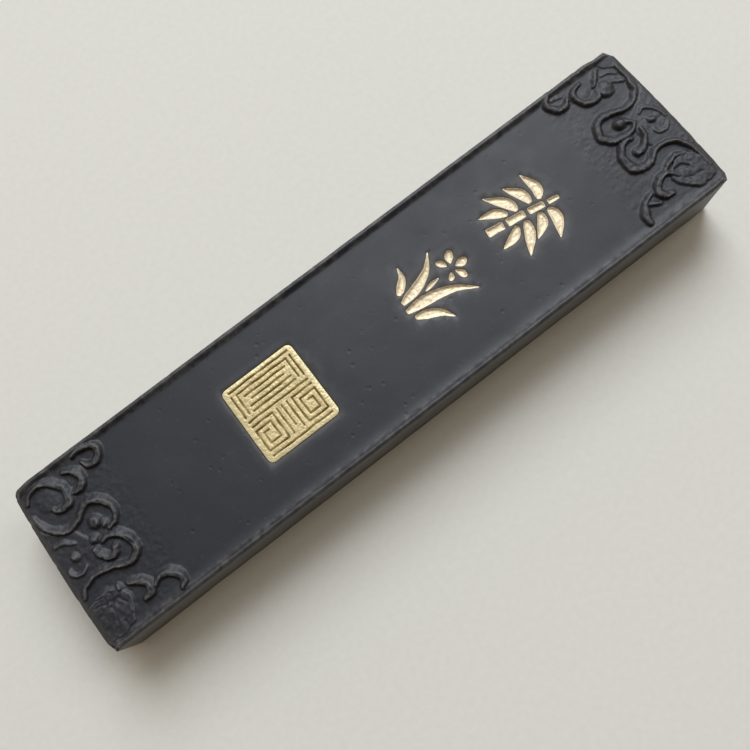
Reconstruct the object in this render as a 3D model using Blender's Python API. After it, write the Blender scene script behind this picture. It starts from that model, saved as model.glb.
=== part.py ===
"""Ink stick: one pressed ink cake with gilt fills in its sunken marks.

Frame: origin at the centre of the underside, +X along the stick, +Y across
its face, +Z up. Metres. The writing panel faces +Z.
"""

import math

import bmesh
import bpy
from mathutils import Vector

MM = 0.001

# ---------------------------------------------------------------- dimensions
LENGTH = 156.4          # mm, end to end
WIDTH = 38.6            # mm, across the face
THICK = 16.2            # mm, underside to rim top
END_BOW = 0.45          # mm, how far each short end bows outward at its middle
CORNER_R = 2.0          # mm, radius of the four upright corners

RIM_TOP = 0.55          # mm, flat width of the long rims
RIM_OUT = 0.35          # mm, outer easing of the long rims
SLOPE = 1.05            # mm, width of the slope from rim top to panel
PANEL_DEPTH = 0.60      # mm, rim top down to the sunken panel

SCROLL_RISE = 0.80      # mm, height of the moulded scrolls over the panel
SCROLL_ROOT = 0.50      # mm, how far a scroll is rooted in the cake

SEAL_X, SEAL_Y = -23.2, 0.3      # mm, centre of the gilt square
SEAL_W, SEAL_H = 17.5, 18.2      # mm, size of the gilt square
SEAL_R = 1.3                     # mm, its corner radius
SEAL_BED = 0.42                  # mm, depth of its bed
SEAL_COAT = 0.36                 # mm, thickness of its coat
GROOVE_W, GROOVE_D = 0.34, 0.18  # mm, fret grooves in the coat

MARK_DEPTH = 0.50       # mm, depth of the sunken strokes
MARK_FILL = 0.36        # mm, thickness of the gilt in them
TIP_W = 0.30            # mm, width left at the point of a stroke
SIDE_GAP = 0.05         # mm, gilt to pocket wall
FLOOR_GAP = 0.03        # mm, gilt to pocket floor

PANEL_Z = THICK - PANEL_DEPTH

BAMBOO_AT = (39.8, 0.6)   # mm, centre of the first sunken motif
ORCHID_AT = (16.3, 0.0)   # mm, centre of the second sunken motif


# ------------------------------------------------------------------- helpers
def clear_scene():
    for ob in list(bpy.data.objects):
        bpy.data.objects.remove(ob, do_unlink=True)


def principled(name, colour, roughness, metallic):
    mat = bpy.data.materials.new(name)
    mat.use_nodes = True
    bsdf = mat.node_tree.nodes["Principled BSDF"]
    bsdf.inputs["Base Color"].default_value = (*colour, 1.0)
    bsdf.inputs["Roughness"].default_value = roughness
    bsdf.inputs["Metallic"].default_value = metallic
    return mat


def add_object(name, bm, mat=None, cutter=False):
    bmesh.ops.recalc_face_normals(bm, faces=bm.faces[:])
    mesh = bpy.data.meshes.new(name)
    bm.to_mesh(mesh)
    bm.free()
    ob = bpy.data.objects.new(name, mesh)
    bpy.context.scene.collection.objects.link(ob)
    if mat:
        mesh.materials.append(mat)
    if cutter:
        ob.hide_render = True
        ob.display_type = "WIRE"
    return ob


def boolean(target, tool, operation):
    mod = target.modifiers.new(tool.name, "BOOLEAN")
    mod.operation = operation
    mod.solver = "EXACT"
    mod.object = tool
    return mod


def curve_points(ctrl, steps):
    """A smooth curve through the control points."""
    pts = [Vector(p) for p in ctrl]
    ext = [pts[0] * 2 - pts[1]] + pts + [pts[-1] * 2 - pts[-2]]
    out = []
    for i in range(1, len(ext) - 2):
        a, b, c, d = ext[i - 1], ext[i], ext[i + 1], ext[i + 2]
        for k in range(steps):
            t = k / steps
            out.append(0.5 * ((2 * b) + (c - a) * t + (2 * a - 5 * b + 4 * c - d) * t * t
                              + (3 * b - a - 3 * c + d) * t ** 3))
    out.append(pts[-1])
    return out


def normals(path):
    out = []
    for i, p in enumerate(path):
        a = path[max(i - 1, 0)]
        b = path[min(i + 1, len(path) - 1)]
        t = (b - a).to_2d().normalized()
        out.append(Vector((-t.y, t.x)))
    return out


def loft(loops):
    """Closed body through equal-length loops of 3-D points, capped at both ends."""
    bm = bmesh.new()
    rings = [[bm.verts.new((p[0] * MM, p[1] * MM, p[2] * MM)) for p in loop] for loop in loops]
    n = len(rings[0])
    for lo, hi in zip(rings, rings[1:]):
        for i in range(n):
            bm.faces.new((lo[i], lo[(i + 1) % n], hi[(i + 1) % n], hi[i]))
    bm.faces.new(list(reversed(rings[0])))
    bm.faces.new(rings[-1])
    return bm


def ridge(ctrl, z_low, z_high, steps=2):
    """A rounded raised band along a curve of (x, y, width), as a closed body."""
    path = curve_points(ctrl, steps)
    nrm = normals(path)
    n = len(path)
    bm = bmesh.new()
    sections = []
    for i, (p, q) in enumerate(zip(path, nrm)):
        end = min(i, n - 1 - i)
        k = 0.62 if end == 0 else (0.9 if end == 1 else 1.0)
        top = z_high - (0.30 if end == 0 else 0.0)
        w = (p.z + 0.25) * k
        shape = ((-0.58, z_low), (-0.50, PANEL_Z + 0.12), (-0.26, top), (0.26, top),
                 (0.50, PANEL_Z + 0.12), (0.58, z_low))
        sections.append([bm.verts.new(((p.x + q.x * s * w) * MM, (p.y + q.y * s * w) * MM, z * MM))
                         for s, z in shape])
    m = len(sections[0])
    for a, b in zip(sections, sections[1:]):
        for j in range(m):
            bm.faces.new((a[j], a[(j + 1) % m], b[(j + 1) % m], b[j]))
    bm.faces.new(sections[0])
    bm.faces.new(list(reversed(sections[-1])))
    return bm


def knob(cx, cy, r, z_low, z_high, sides=10):
    loops = []
    for k, z in ((1.12, z_low), (1.0, PANEL_Z + 0.1), (0.78, z_high - 0.18), (0.42, z_high)):
        loops.append([(cx + r * k * math.cos(2 * math.pi * i / sides),
                       cy + r * k * math.sin(2 * math.pi * i / sides), z) for i in range(sides)])
    return loft(loops)


def rounded_rect(w, h, r, inset=0.0, arc=4):
    pts = []
    hw, hh, rr = w / 2 - inset, h / 2 - inset, max(r - inset, 0.05)
    for cx, cy, a0 in ((hw - rr, hh - rr, 0), (-hw + rr, hh - rr, 90),
                       (-hw + rr, -hh + rr, 180), (hw - rr, -hh + rr, 270)):
        for k in range(arc + 1):
            a = math.radians(a0 + 90 * k / arc)
            pts.append((cx + rr * math.cos(a), cy + rr * math.sin(a)))
    return pts


def cake_outline(side_in, end_in):
    """Plan outline of the cake: straight long sides, bowed ends, round corners."""
    hw, hl = WIDTH / 2 - side_in, LENGTH / 2 - end_in
    r = CORNER_R
    pts = []

    def end_x(y):
        return hl - END_BOW * (y / (WIDTH / 2)) ** 2

    def right_side():
        out = []
        for k in range(6):                       # lower right corner
            a = math.radians(-90 + 15 * k)
            out.append((end_x(-hw) - r + r * math.cos(a), -hw + r + r * math.sin(a)))
        for k in range(0, 7):                    # bowed end
            y = -(hw - r) + 2 * (hw - r) * k / 6
            out.append((end_x(y), y))
        for k in range(1, 7):                    # upper right corner
            a = math.radians(15 * k)
            out.append((end_x(hw) - r + r * math.cos(a), hw - r + r * math.sin(a)))
        return out

    right = right_side()
    pts += right
    pts += [(-x, -y) for x, y in right]
    return pts


def taper_outline(ctrl, width, head, steps=4):
    """Outline of a brush-like stroke: full near the head, drawn out to a point."""
    path = curve_points(ctrl, steps)
    nrm = normals(path)
    n = len(path) - 1
    left, right = [], []
    for i, (p, q) in enumerate(zip(path, nrm)):
        t = i / n
        rise = math.sin(math.pi / 2 * min(1.0, (t + 0.10) / (head + 0.10))) ** 0.8
        fall = 1.0 if t < head else max(0.0, 1 - ((t - head) / (1 - head)) ** 1.7)
        w = max(width * rise * fall, TIP_W) / 2
        left.append(p + q * w)
        right.append(p - q * w)
    return left + right[::-1]


def bar_outline(a, b, wa, wb, flare=0.18):
    """Outline of a short stalk segment, a little wider at its two joints."""
    a, b = Vector(a), Vector(b)
    t = (b - a).normalized()
    q = Vector((-t.y, t.x))
    rows = ((0.0, 0.42), (0.04, 0.5 + flare / 2), (0.12, 0.5), (0.5, 0.46), (0.88, 0.5),
            (0.96, 0.5 + flare / 2), (1.0, 0.42))
    left, right = [], []
    for s, k in rows:
        w = (wa + (wb - wa) * s) * k
        p = a.lerp(b, s)
        left.append(p + q * w)
        right.append(p - q * w)
    return left + right[::-1]


def place(outline, at):
    """Motif plane to the cake: motif up is +X, motif right is -Y."""
    return [(at[0] + p[1], at[1] - p[0]) for p in outline]


def shrink(outline, gap):
    """Moves every edge of a closed outline inward by gap."""
    pts = [Vector(p) for p in outline]
    n = len(pts)
    area = sum(pts[i].x * pts[(i + 1) % n].y - pts[(i + 1) % n].x * pts[i].y for i in range(n))
    sign = 1.0 if area > 0 else -1.0
    out = []
    for i in range(n):
        a, b, c = pts[i - 1], pts[i], pts[(i + 1) % n]
        e1, e2 = (b - a).normalized(), (c - b).normalized()
        n1, n2 = Vector((-e1.y, e1.x)) * sign, Vector((-e2.y, e2.x)) * sign
        m = n1 + n2
        if m.length < 1e-6:
            m = n1.copy()
        m.normalize()
        out.append(b + m * (gap / max(m.dot(n1), 0.45)))
    return out


def polyline_prism(path, width, z0, z1):
    """A mitred groove of constant width along straight runs, as a closed body."""
    pts = [Vector(p) for p in path]
    n = len(pts)
    left, right = [], []
    for i, p in enumerate(pts):
        if i == 0:
            t = (pts[1] - p).normalized()
            q, k = Vector((-t.y, t.x)), 1.0
            p = p - t * width / 2
        elif i == n - 1:
            t = (p - pts[i - 1]).normalized()
            q, k = Vector((-t.y, t.x)), 1.0
            p = p + t * width / 2
        else:
            t1, t2 = (p - pts[i - 1]).normalized(), (pts[i + 1] - p).normalized()
            q1, q2 = Vector((-t1.y, t1.x)), Vector((-t2.y, t2.x))
            q = (q1 + q2).normalized()
            k = 1 / q.dot(q1)
        left.append(p + q * width / 2 * k)
        right.append(p - q * width / 2 * k)
    bm = bmesh.new()
    rows = []
    for a, b in zip(left, right):
        rows.append([bm.verts.new((v.x * MM, v.y * MM, z * MM)) for v, z in
                     ((a, z0), (b, z0), (b, z1), (a, z1))])
    for r0, r1 in zip(rows, rows[1:]):
        for j in range(4):
            bm.faces.new((r0[j], r0[(j + 1) % 4], r1[(j + 1) % 4], r1[j]))
    bm.faces.new(rows[0])
    bm.faces.new(list(reversed(rows[-1])))
    return bm


# ---------------------------------------------------------------- the motifs
# Drawn in a motif plane, in mm: x to the motif's right, y up.
STALK = (  # lower end, upper end, widths
    ((-1.75, -8.3), (-1.15, -4.3), 1.90, 1.75),
    ((-1.00, -3.6), (-0.45, 0.7), 1.75, 1.60),
    ((-0.30, 1.4), (0.40, 5.1), 1.55, 1.40),
    ((0.55, 5.8), (1.05, 8.5), 1.30, 0.90),
)
BAMBOO_LEAVES = (  # base, middle, tip, width
    (((1.60, 5.05), (4.4, 5.3), (8.3, 3.0)), 2.42),
    (((1.22, 3.22), (3.5, 2.1), (5.7, -0.9)), 2.30),
    (((-0.95, 4.95), (-3.5, 6.1), (-7.7, 5.1)), 2.30),
    (((-1.50, 3.05), (-4.1, 2.7), (-7.6, 0.3)), 2.42),
    (((0.85, -0.15), (3.4, -1.2), (7.6, -4.3)), 2.42),
    (((0.68, -2.20), (2.2, -4.3), (3.0, -7.8)), 2.18),
    (((-1.90, -0.10), (-4.5, -0.9), (-8.4, -4.3)), 2.42),
    (((-2.42, -2.22), (-4.2, -4.3), (-5.4, -7.8)), 2.18),
)
ORCHID_LEAVES = (
    (((-1.30, -7.7), (-2.2, -3.2), (-4.1, 0.7), (-7.0, 3.3)), 2.15),
    (((0.60, -8.0), (1.0, -2.6), (2.5, 2.7), (5.6, 7.0)), 2.30),
    (((2.55, -7.3), (3.6, -4.5), (5.1, -2.2), (7.5, -0.6)), 2.00),
    (((-3.20, -7.2), (-4.5, -5.4), (-6.1, -4.1), (-8.2, -3.7)), 1.80),
)
ORCHID_STEM = (((-0.55, -2.3), (-0.95, -0.2), (-1.15, 1.7)), 1.10)
BLOOM_AT = (-1.2, 5.0)
BLOOM = ((22, 3.7, 1.65), (88, 3.7, 2.00), (150, 3.9, 1.95), (214, 3.5, 1.60), (318, 2.9, 1.40))


def motif_outlines():
    """Every stroke that stands alone: (node name, outline on the cake)."""
    out = []
    for i, (a, b, wa, wb) in enumerate(STALK, 1):
        out.append((f"gilt_bamboo_stalk_{i}", place(bar_outline(a, b, wa, wb), BAMBOO_AT)))
    for i, (ctrl, w) in enumerate(BAMBOO_LEAVES, 1):
        out.append((f"gilt_bamboo_leaf_{i}", place(taper_outline(ctrl, w, 0.38), BAMBOO_AT)))
    for i, (ctrl, w) in enumerate(ORCHID_LEAVES, 1):
        out.append((f"gilt_orchid_leaf_{i}", place(taper_outline(ctrl, w, 0.30, 3), ORCHID_AT)))
    out.append(("gilt_orchid_stem", place(taper_outline(ORCHID_STEM[0], ORCHID_STEM[1], 0.5, 3),
                                          ORCHID_AT)))
    for i, (deg, reach, w) in enumerate(BLOOM, 1):
        a = math.radians(deg)
        d = Vector((math.cos(a), math.sin(a)))
        c = Vector(BLOOM_AT)
        bend = Vector((-d.y, d.x)) * 0.18 * (1 if i % 2 else -1)
        ctrl = (c + d * reach, c + d * (reach * 0.62) + bend, c + d * 0.85)
        out.append((f"gilt_orchid_petal_{i}", place(taper_outline(ctrl, w, 0.45), ORCHID_AT)))
    return out


# ------------------------------------------------------- moulded end scrolls
# Raised bands: relative height, then (x, y, width) along the middle, in mm on the face.
RIGHT_END = (
    (0.84, ((76.4, 14.4, 0.8), (76.4, 11.9, 1), (75.9, 9.3, 1.3), (74.8, 7.1, 1.5), (72.9, 5.9, 1.5),
            (70.6, 5.8, 1.5), (68.4, 6.5, 1.5), (66.2, 7.1, 1.6), (64.4, 6.6, 1.7), (63.3, 5.3, 1.9),
            (63, 3.6, 2), (63.9, 2, 2), (65.5, 1, 1.8), (67.2, 0.7, 1.6), (68.9, 1.1, 1.3), (70.1, 2, 1))),
    (0.74, ((68.6, 3.8, 1.4), (69.7, 3.2, 1.1), (70.6, 2.3, 0.8))),
    (0.84, ((67.6, -0.2, 1.1), (66.6, 0, 1.4), (65.2, -0.4, 1.6), (63.9, -1.5, 1.7), (63.2, -3, 1.9),
            (63.2, -4.7, 2), (64.1, -6.2, 2), (65.7, -6.9, 1.8), (67.3, -6.6, 1.6), (68.9, -5.6, 1.5),
            (70.9, -5.1, 1.5), (72.9, -5.5, 1.4), (74.7, -6.9, 1.4), (75.9, -9, 1.3), (76.5, -11.6, 1.1),
            (76.5, -14.4, 0.8))),
    (0.80, ((70.5, 0.4, 1), (70.2, -1.3, 1.3), (69.2, -2.7, 1.5), (67.8, -3.5, 1.8), (66.6, -3.3, 1.8))),
    (0.60, ((72.5, 3.2, 0.9), (74.1, 3.5, 1.2), (75.5, 2.6, 1.2), (76.3, 1, 1), (76.5, -0.6, 0.8))),
    (0.58, ((72.7, -1.6, 1), (73.4, -2.8, 1.3), (74.8, -3, 1.3), (75.9, -2.2, 1))),
    (0.40, ((75.6, -4.4, 0.7), (76.4, -6, 0.8), (76.7, -8, 0.7))),
    (0.82, ((67.3, 16.1, 0.9), (65.7, 15.6, 1.3), (64.7, 14.1, 1.6), (65, 12.4, 1.7), (66.4, 11.4, 1.7),
            (68.1, 11.3, 1.6), (69.4, 12, 1.3))),
    (0.52, ((69.6, 13.7, 1.2), (70.9, 15.1, 1.3), (72.5, 16.5, 1))),
    (0.40, ((72.3, 12.7, 1), (73.9, 12.1, 1), (75.3, 11.1, 0.8))),
    (0.34, ((72.6, 14.8, 0.9), (74, 14.4, 0.9), (75.2, 13.4, 0.7))),
    (0.84, ((60.9, 18.3, 1.2), (59.4, 17.2, 1.6), (59.1, 15.7, 1.9), (60.2, 14.3, 2), (61.8, 13.9, 1.7),
            (63.2, 14.9, 1.1))),
    (0.34, ((60.9, 17, 0.7), (61.9, 16.8, 0.8), (62.8, 16.4, 0.7))),
    (0.82, ((69.9, -12.2, 1.1), (68.4, -10.9, 1.4), (66.7, -10.6, 1.6), (65, -11.5, 1.8), (64.2, -12.9, 1.9),
            (64.9, -14.2, 1.7), (66.5, -14.5, 1.1))),
    (0.62, ((68.5, -9.9, 1), (70.1, -9, 1.3), (72.1, -8.8, 1.3), (74, -9.6, 1))),
    (0.56, ((69.2, -12.9, 0.8), (70.1, -14.8, 1.1), (71.6, -16.2, 1.1), (73.4, -16.8, 0.8))),
    (0.84, ((62.6, -12.2, 0.9), (61.1, -12.7, 1.5), (59.7, -13.9, 1.8), (58.7, -15.2, 2), (58.5, -16.7, 1.7))),
    (0.66, ((60.8, -13.4, 1.2), (62.1, -14.2, 1.3), (63, -14.6, 0.9))),
)
RIGHT_KNOBS = ((67.8, 3.9, 1.4), (73.5, 0.6, 1.15), (71.0, 11.9, 1.9))

LEFT_END = (
    (0.84, ((-76.6, 11.6, 0.8), (-76.1, 9.6, 1.1), (-75.1, 7.5, 1.4), (-73.4, 6, 1.6), (-71.4, 5.3, 1.6),
            (-69.5, 5.7, 1.6), (-67.8, 6.9, 1.7), (-66, 7.6, 1.8), (-64.3, 7.2, 1.9), (-62.9, 5.9, 1.9),
            (-62.2, 4.2, 1.8), (-62.2, 2.6, 1.6), (-63.1, 1.3, 1.4), (-64.6, 0.7, 1.1))),
    (0.84, ((-67.4, -0.6, 1), (-65.6, -0.6, 1.5), (-64, -1.4, 1.9), (-62.9, -2.9, 1.9), (-62.5, -4.7, 1.9),
            (-63, -6.3, 1.9), (-64.5, -7.3, 1.8), (-66.3, -7.1, 1.6), (-68.3, -6.1, 1.5), (-70.6, -5.4, 1.5),
            (-72.9, -5.2, 1.4), (-75, -5.9, 1.3), (-76.4, -7.8, 0.9))),
    (0.82, ((-69.5, -0.9, 1.2), (-69.2, -2.6, 1.5), (-68.1, -4, 1.8), (-66.6, -4.2, 1.8), (-65.9, -3.1, 1.5))),
    (0.56, ((-75.9, 4.3, 1), (-74.4, 4, 1.4), (-73, 3.1, 1.4), (-72.2, 2.4, 0.9))),
    (0.60, ((-75.8, -1.4, 1.1), (-75.2, -2.8, 1.4), (-73.9, -3.3, 1.4), (-72.6, -2.6, 1))),
    (0.78, ((-76, 14.9, 0.9), (-74.6, 16.3, 1.2), (-72.6, 16.6, 1.5), (-70.5, 15.8, 1.7), (-68.9, 14.1, 1.9),
            (-68.1, 12.2, 2), (-68.5, 10.5, 2), (-70, 9.5, 1.8), (-71.6, 9.7, 1.4), (-72.4, 10.7, 0.8))),
    (0.84, ((-66.9, 15.8, 0.9), (-65.4, 15, 1.4), (-64.2, 13.5, 1.9), (-64.3, 12, 2.1), (-65.6, 11, 1.9),
            (-67.2, 11.3, 1))),
    (0.84, ((-63.4, 17.4, 1.1), (-61.1, 17.8, 1.4), (-59.3, 17.2, 1.7), (-58.3, 15.8, 1.9), (-58.9, 14.3, 1.9),
            (-60.4, 13.4, 1.8), (-61.9, 14.1, 1.4), (-62.5, 15.1, 0.8))),
    (0.56, ((-75.9, -9.9, 0.8), (-73.9, -9.2, 1), (-71.7, -9.4, 1.3), (-70.1, -10.5, 1.5), (-69.4, -12.2, 1.3),
            (-69.8, -14.3, 1), (-70.9, -15.9, 0.8))),
    (0.84, ((-67.5, -10.3, 1), (-65.9, -11.2, 1.6), (-64.6, -12.7, 1.9), (-64.8, -14.2, 2),
            (-66.4, -14.9, 1.4))),
    (0.84, ((-63.5, -13.9, 1.2), (-61.9, -13.2, 1.6), (-60.1, -13.6, 1.9), (-58.7, -14.9, 2),
            (-58.4, -16.4, 1.9), (-59.4, -17.6, 1.3))),
)
LEFT_KNOBS = ((-66.6, 3.7, 1.4), (-68.7, 1.0, 1.0), (-65.1, 2.1, 0.8), (-73.4, 0.1, 1.2),
              (-69.6, -10.0, 0.9))


# ----------------------------------------------------------------- the fret
# Grooves of the gilt square, in mm from its centre; mirror-symmetric.
def fret_paths():
    runs = [
        [(-7.3, 8.0), (7.3, 8.0)],
        [(-6.2, 2.1), (-6.2, 6.8), (6.2, 6.8), (6.2, 2.1)],
        [(-7.3, 6.9), (-7.3, 1.8)],
        [(7.3, 6.9), (7.3, 1.8)],
        [(-5.0, 5.6), (5.0, 5.6)],
        [(-4.0, 4.4), (4.0, 4.4)],
        [(-5.0, 3.2), (5.0, 3.2)],
        [(-5.2, 2.0), (5.2, 2.0)],
        [(-7.3, 0.6), (7.3, 0.6)],
        [(-7.3, -7.9), (7.3, -7.9)],
        [(0.0, -0.6), (0.0, -5.4)],
    ]
    for s in (-1, 1):
        runs.append([(s * 7.3, -0.6), (s * 2.5, -0.6), (s * 2.5, -6.7), (s * 7.3, -6.7),
                     (s * 7.3, -1.8), (s * 3.7, -1.8), (s * 3.7, -5.5), (s * 6.1, -5.5),
                     (s * 6.1, -3.0), (s * 4.9, -3.0)])
        runs.append([(s * 1.25, -0.6), (s * 1.25, -6.7)])
    return runs


# -------------------------------------------------------------------- build
def build_cake(ink):
    levels = (  # height, side inset, end inset
        (0.0, 0.42, 0.42),
        (0.16, 0.20, 0.20),
        (0.75, 0.03, 0.03),
        (1.60, 0.0, 0.0),
        (THICK - 1.70, 0.0, 0.0),
        (THICK - 1.00, 0.02, 0.28),
        (THICK - 0.55, 0.05, 0.95),
        (THICK - 0.12, 0.18, 1.70),
        (THICK, RIM_OUT, 2.00),
    )
    loops = [[(x, y, z) for x, y in cake_outline(side, end)] for z, side, end in levels]
    cake = add_object("ink_cake", loft(loops), ink)

    # the sunken panel, open at both ends, with a sloped rim along each side
    top_half = WIDTH / 2 - RIM_OUT - RIM_TOP
    low_half = top_half - SLOPE
    steep = SLOPE / PANEL_DEPTH
    over = 1.0
    section = ((-low_half, PANEL_Z), (low_half, PANEL_Z),
               (top_half + over * steep, THICK + over), (-top_half - over * steep, THICK + over))
    loops = [[(x, y, z) for y, z in section] for x in (-LENGTH, LENGTH)]
    trough = add_object("cut_panel", loft(loops), cutter=True)
    boolean(cake, trough, "DIFFERENCE")

    # moulded scrolls, each rooted in the cake; heights differ a little
    n = 0
    for group, knobs in ((RIGHT_END, RIGHT_KNOBS), (LEFT_END, LEFT_KNOBS)):
        for rise, ctrl in group:
            n += 1
            top = PANEL_Z + max(0.50, SCROLL_RISE * rise / 0.84 - 0.006 * (n % 5))
            tool = add_object(f"add_scroll_{n:02d}",
                              ridge(ctrl, PANEL_Z - SCROLL_ROOT - 0.01 * n, top), cutter=True)
            boolean(cake, tool, "UNION")
        for cx, cy, r in knobs:
            n += 1
            tool = add_object(f"add_knob_{n:02d}",
                              knob(cx, cy, r, PANEL_Z - SCROLL_ROOT - 0.01 * n,
                                   PANEL_Z + SCROLL_RISE * (0.8 + 0.015 * (n % 7))), cutter=True)
            boolean(cake, tool, "UNION")
    return cake


def build_seal(cake, gilt):
    bed = [[(SEAL_X + x, SEAL_Y + y, z) for x, y in rounded_rect(SEAL_W, SEAL_H, SEAL_R, -SIDE_GAP)]
           for z in (PANEL_Z - SEAL_BED, PANEL_Z + 2.0)]
    boolean(cake, add_object("cut_seal_bed", loft(bed), cutter=True), "DIFFERENCE")
    base = PANEL_Z - SEAL_BED + FLOOR_GAP
    top = base + SEAL_COAT
    levels = ((base, 0.0), (top - 0.14, 0.0), (top, 0.16))
    loops = [[(SEAL_X + x, SEAL_Y + y, z) for x, y in rounded_rect(SEAL_W, SEAL_H, SEAL_R, inset)]
             for z, inset in levels]
    seal = add_object("gilt_seal_fret", loft(loops), gilt)
    for k, run in enumerate(fret_paths(), 1):
        run = [(SEAL_X + x, SEAL_Y + y) for x, y in run]
        tool = add_object(f"cut_fret_{k:02d}",
                          polyline_prism(run, GROOVE_W, top - GROOVE_D - 0.001 * k, top + 1.0),
                          cutter=True)
        boolean(seal, tool, "DIFFERENCE")
    return seal


def build_marks(cake, gilt):
    made = []
    for name, outline in motif_outlines():
        pocket = [[(x, y, z) for x, y in outline] for z in (PANEL_Z - MARK_DEPTH, PANEL_Z + 2.0)]
        boolean(cake, add_object("cut_" + name, loft(pocket), cutter=True), "DIFFERENCE")
        base = PANEL_Z - MARK_DEPTH + FLOOR_GAP
        loops = [[(p.x, p.y, z) for p in shrink(outline, gap)]
                 for z, gap in ((base, SIDE_GAP), (base + MARK_FILL, SIDE_GAP))]
        made.append(add_object(name, loft(loops), gilt))
    return made


def main():
    clear_scene()
    ink = principled("ink", (0.060, 0.064, 0.071), 0.48, 0.0)
    gilt = principled("gilt", (0.60, 0.47, 0.24), 0.50, 0.65)
    cake = build_cake(ink)
    build_seal(cake, gilt)
    build_marks(cake, gilt)


main()
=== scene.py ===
import math

import bmesh
import bpy
import numpy as np
from mathutils import Matrix, Vector
from mathutils.geometry import delaunay_2d_cdt


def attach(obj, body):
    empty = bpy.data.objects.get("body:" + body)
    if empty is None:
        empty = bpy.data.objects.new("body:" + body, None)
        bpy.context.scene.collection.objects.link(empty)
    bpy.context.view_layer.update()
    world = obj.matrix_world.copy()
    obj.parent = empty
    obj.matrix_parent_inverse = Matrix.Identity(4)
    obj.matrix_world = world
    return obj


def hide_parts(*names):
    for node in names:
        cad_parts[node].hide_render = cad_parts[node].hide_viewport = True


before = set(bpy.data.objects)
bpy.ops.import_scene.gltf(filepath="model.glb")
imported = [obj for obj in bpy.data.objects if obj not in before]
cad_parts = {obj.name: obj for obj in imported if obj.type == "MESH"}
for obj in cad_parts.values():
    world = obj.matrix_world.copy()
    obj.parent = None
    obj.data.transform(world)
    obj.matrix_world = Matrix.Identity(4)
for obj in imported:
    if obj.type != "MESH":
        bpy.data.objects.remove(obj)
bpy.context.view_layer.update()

MM = 0.001
HL, HW, TH = 78.2, 19.3, 16.2                      # half length, half width, thickness, mm
PANEL_DEPTH = 0.60
PZ = TH - PANEL_DEPTH                              # height of the sunken panel
RIM_IN = 17.0                                      # panel edge, from the middle line
END_X = 55.0                                       # the end ornament starts here
SEAL_C, SEAL_W, SEAL_H, SEAL_R = (-23.2, 0.3), 17.5, 18.2, 1.3
BAMBOO_AT, ORCHID_AT = (39.8, 0.6), (16.3, 0.0)


# ------------------------------------------------------------------- noise
def lattice(seed, n=64):
    return np.random.RandomState(seed).rand(n, n, n).astype(np.float32)


_LAT = {}


def noise3(x, y, z, size, seed=0):
    """Smooth value noise, -1 to 1, with cells of the given size in mm."""
    if seed not in _LAT:
        _LAT[seed] = lattice(seed + 11)
    t = _LAT[seed]
    n = t.shape[0]
    out = 0.0
    p = [np.asarray(v, float) / size + 1000.0 for v in (x, y, z)]
    i = [np.floor(v).astype(int) for v in p]
    f = [v - k for v, k in zip(p, i)]
    f = [v * v * (3 - 2 * v) for v in f]
    for dx in (0, 1):
        for dy in (0, 1):
            for dz in (0, 1):
                w = ((f[0] if dx else 1 - f[0]) * (f[1] if dy else 1 - f[1]) * (f[2] if dz else 1 - f[2]))
                out = out + w * t[(i[0] + dx) % n, (i[1] + dy) % n, (i[2] + dz) % n]
    return out * 2 - 1


def smooth(t):
    t = np.clip(t, 0, 1)
    return t * t * (3 - 2 * t)


def smin(a, b, k):
    h = np.clip(0.5 + 0.5 * (b - a) / k, 0, 1)
    return b * (1 - h) + a * h - k * h * (1 - h)


def smax(a, b, k):
    return -smin(-a, -b, k)


# ------------------------------------------------------------------ curves
def spline(ctrl, step=0.12):
    """Points about step apart on a smooth curve through the control points."""
    p = np.array(ctrl, float)
    ext = np.vstack([2 * p[0] - p[1], p, 2 * p[-1] - p[-2]])
    out = []
    for i in range(1, len(ext) - 2):
        a, b, c, d = ext[i - 1:i + 3]
        n = max(2, int(np.linalg.norm(c - b) / step))
        t = (np.arange(n) / n)[:, None]
        out.append(0.5 * (2 * b + (c - a) * t + (2 * a - 5 * b + 4 * c - d) * t ** 2
                          + (3 * b - a - 3 * c + d) * t ** 3))
    out.append(p[-1:])
    return np.vstack(out)


def side_normals(path):
    t = np.gradient(path, axis=0)
    t /= np.linalg.norm(t, axis=1)[:, None] + 1e-12
    return np.stack([-t[:, 1], t[:, 0]], 1)


def nearest(px, py, path):
    """Distance to the closest path point and its place along the path, 0 to 1."""
    best = np.full(px.shape, 1e9)
    where = np.zeros(px.shape)
    for k in range(len(path)):
        d = (px - path[k, 0]) ** 2 + (py - path[k, 1]) ** 2
        m = d < best
        best[m] = d[m]
        where[m] = k
    return np.sqrt(best), where / max(len(path) - 1, 1)


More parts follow.
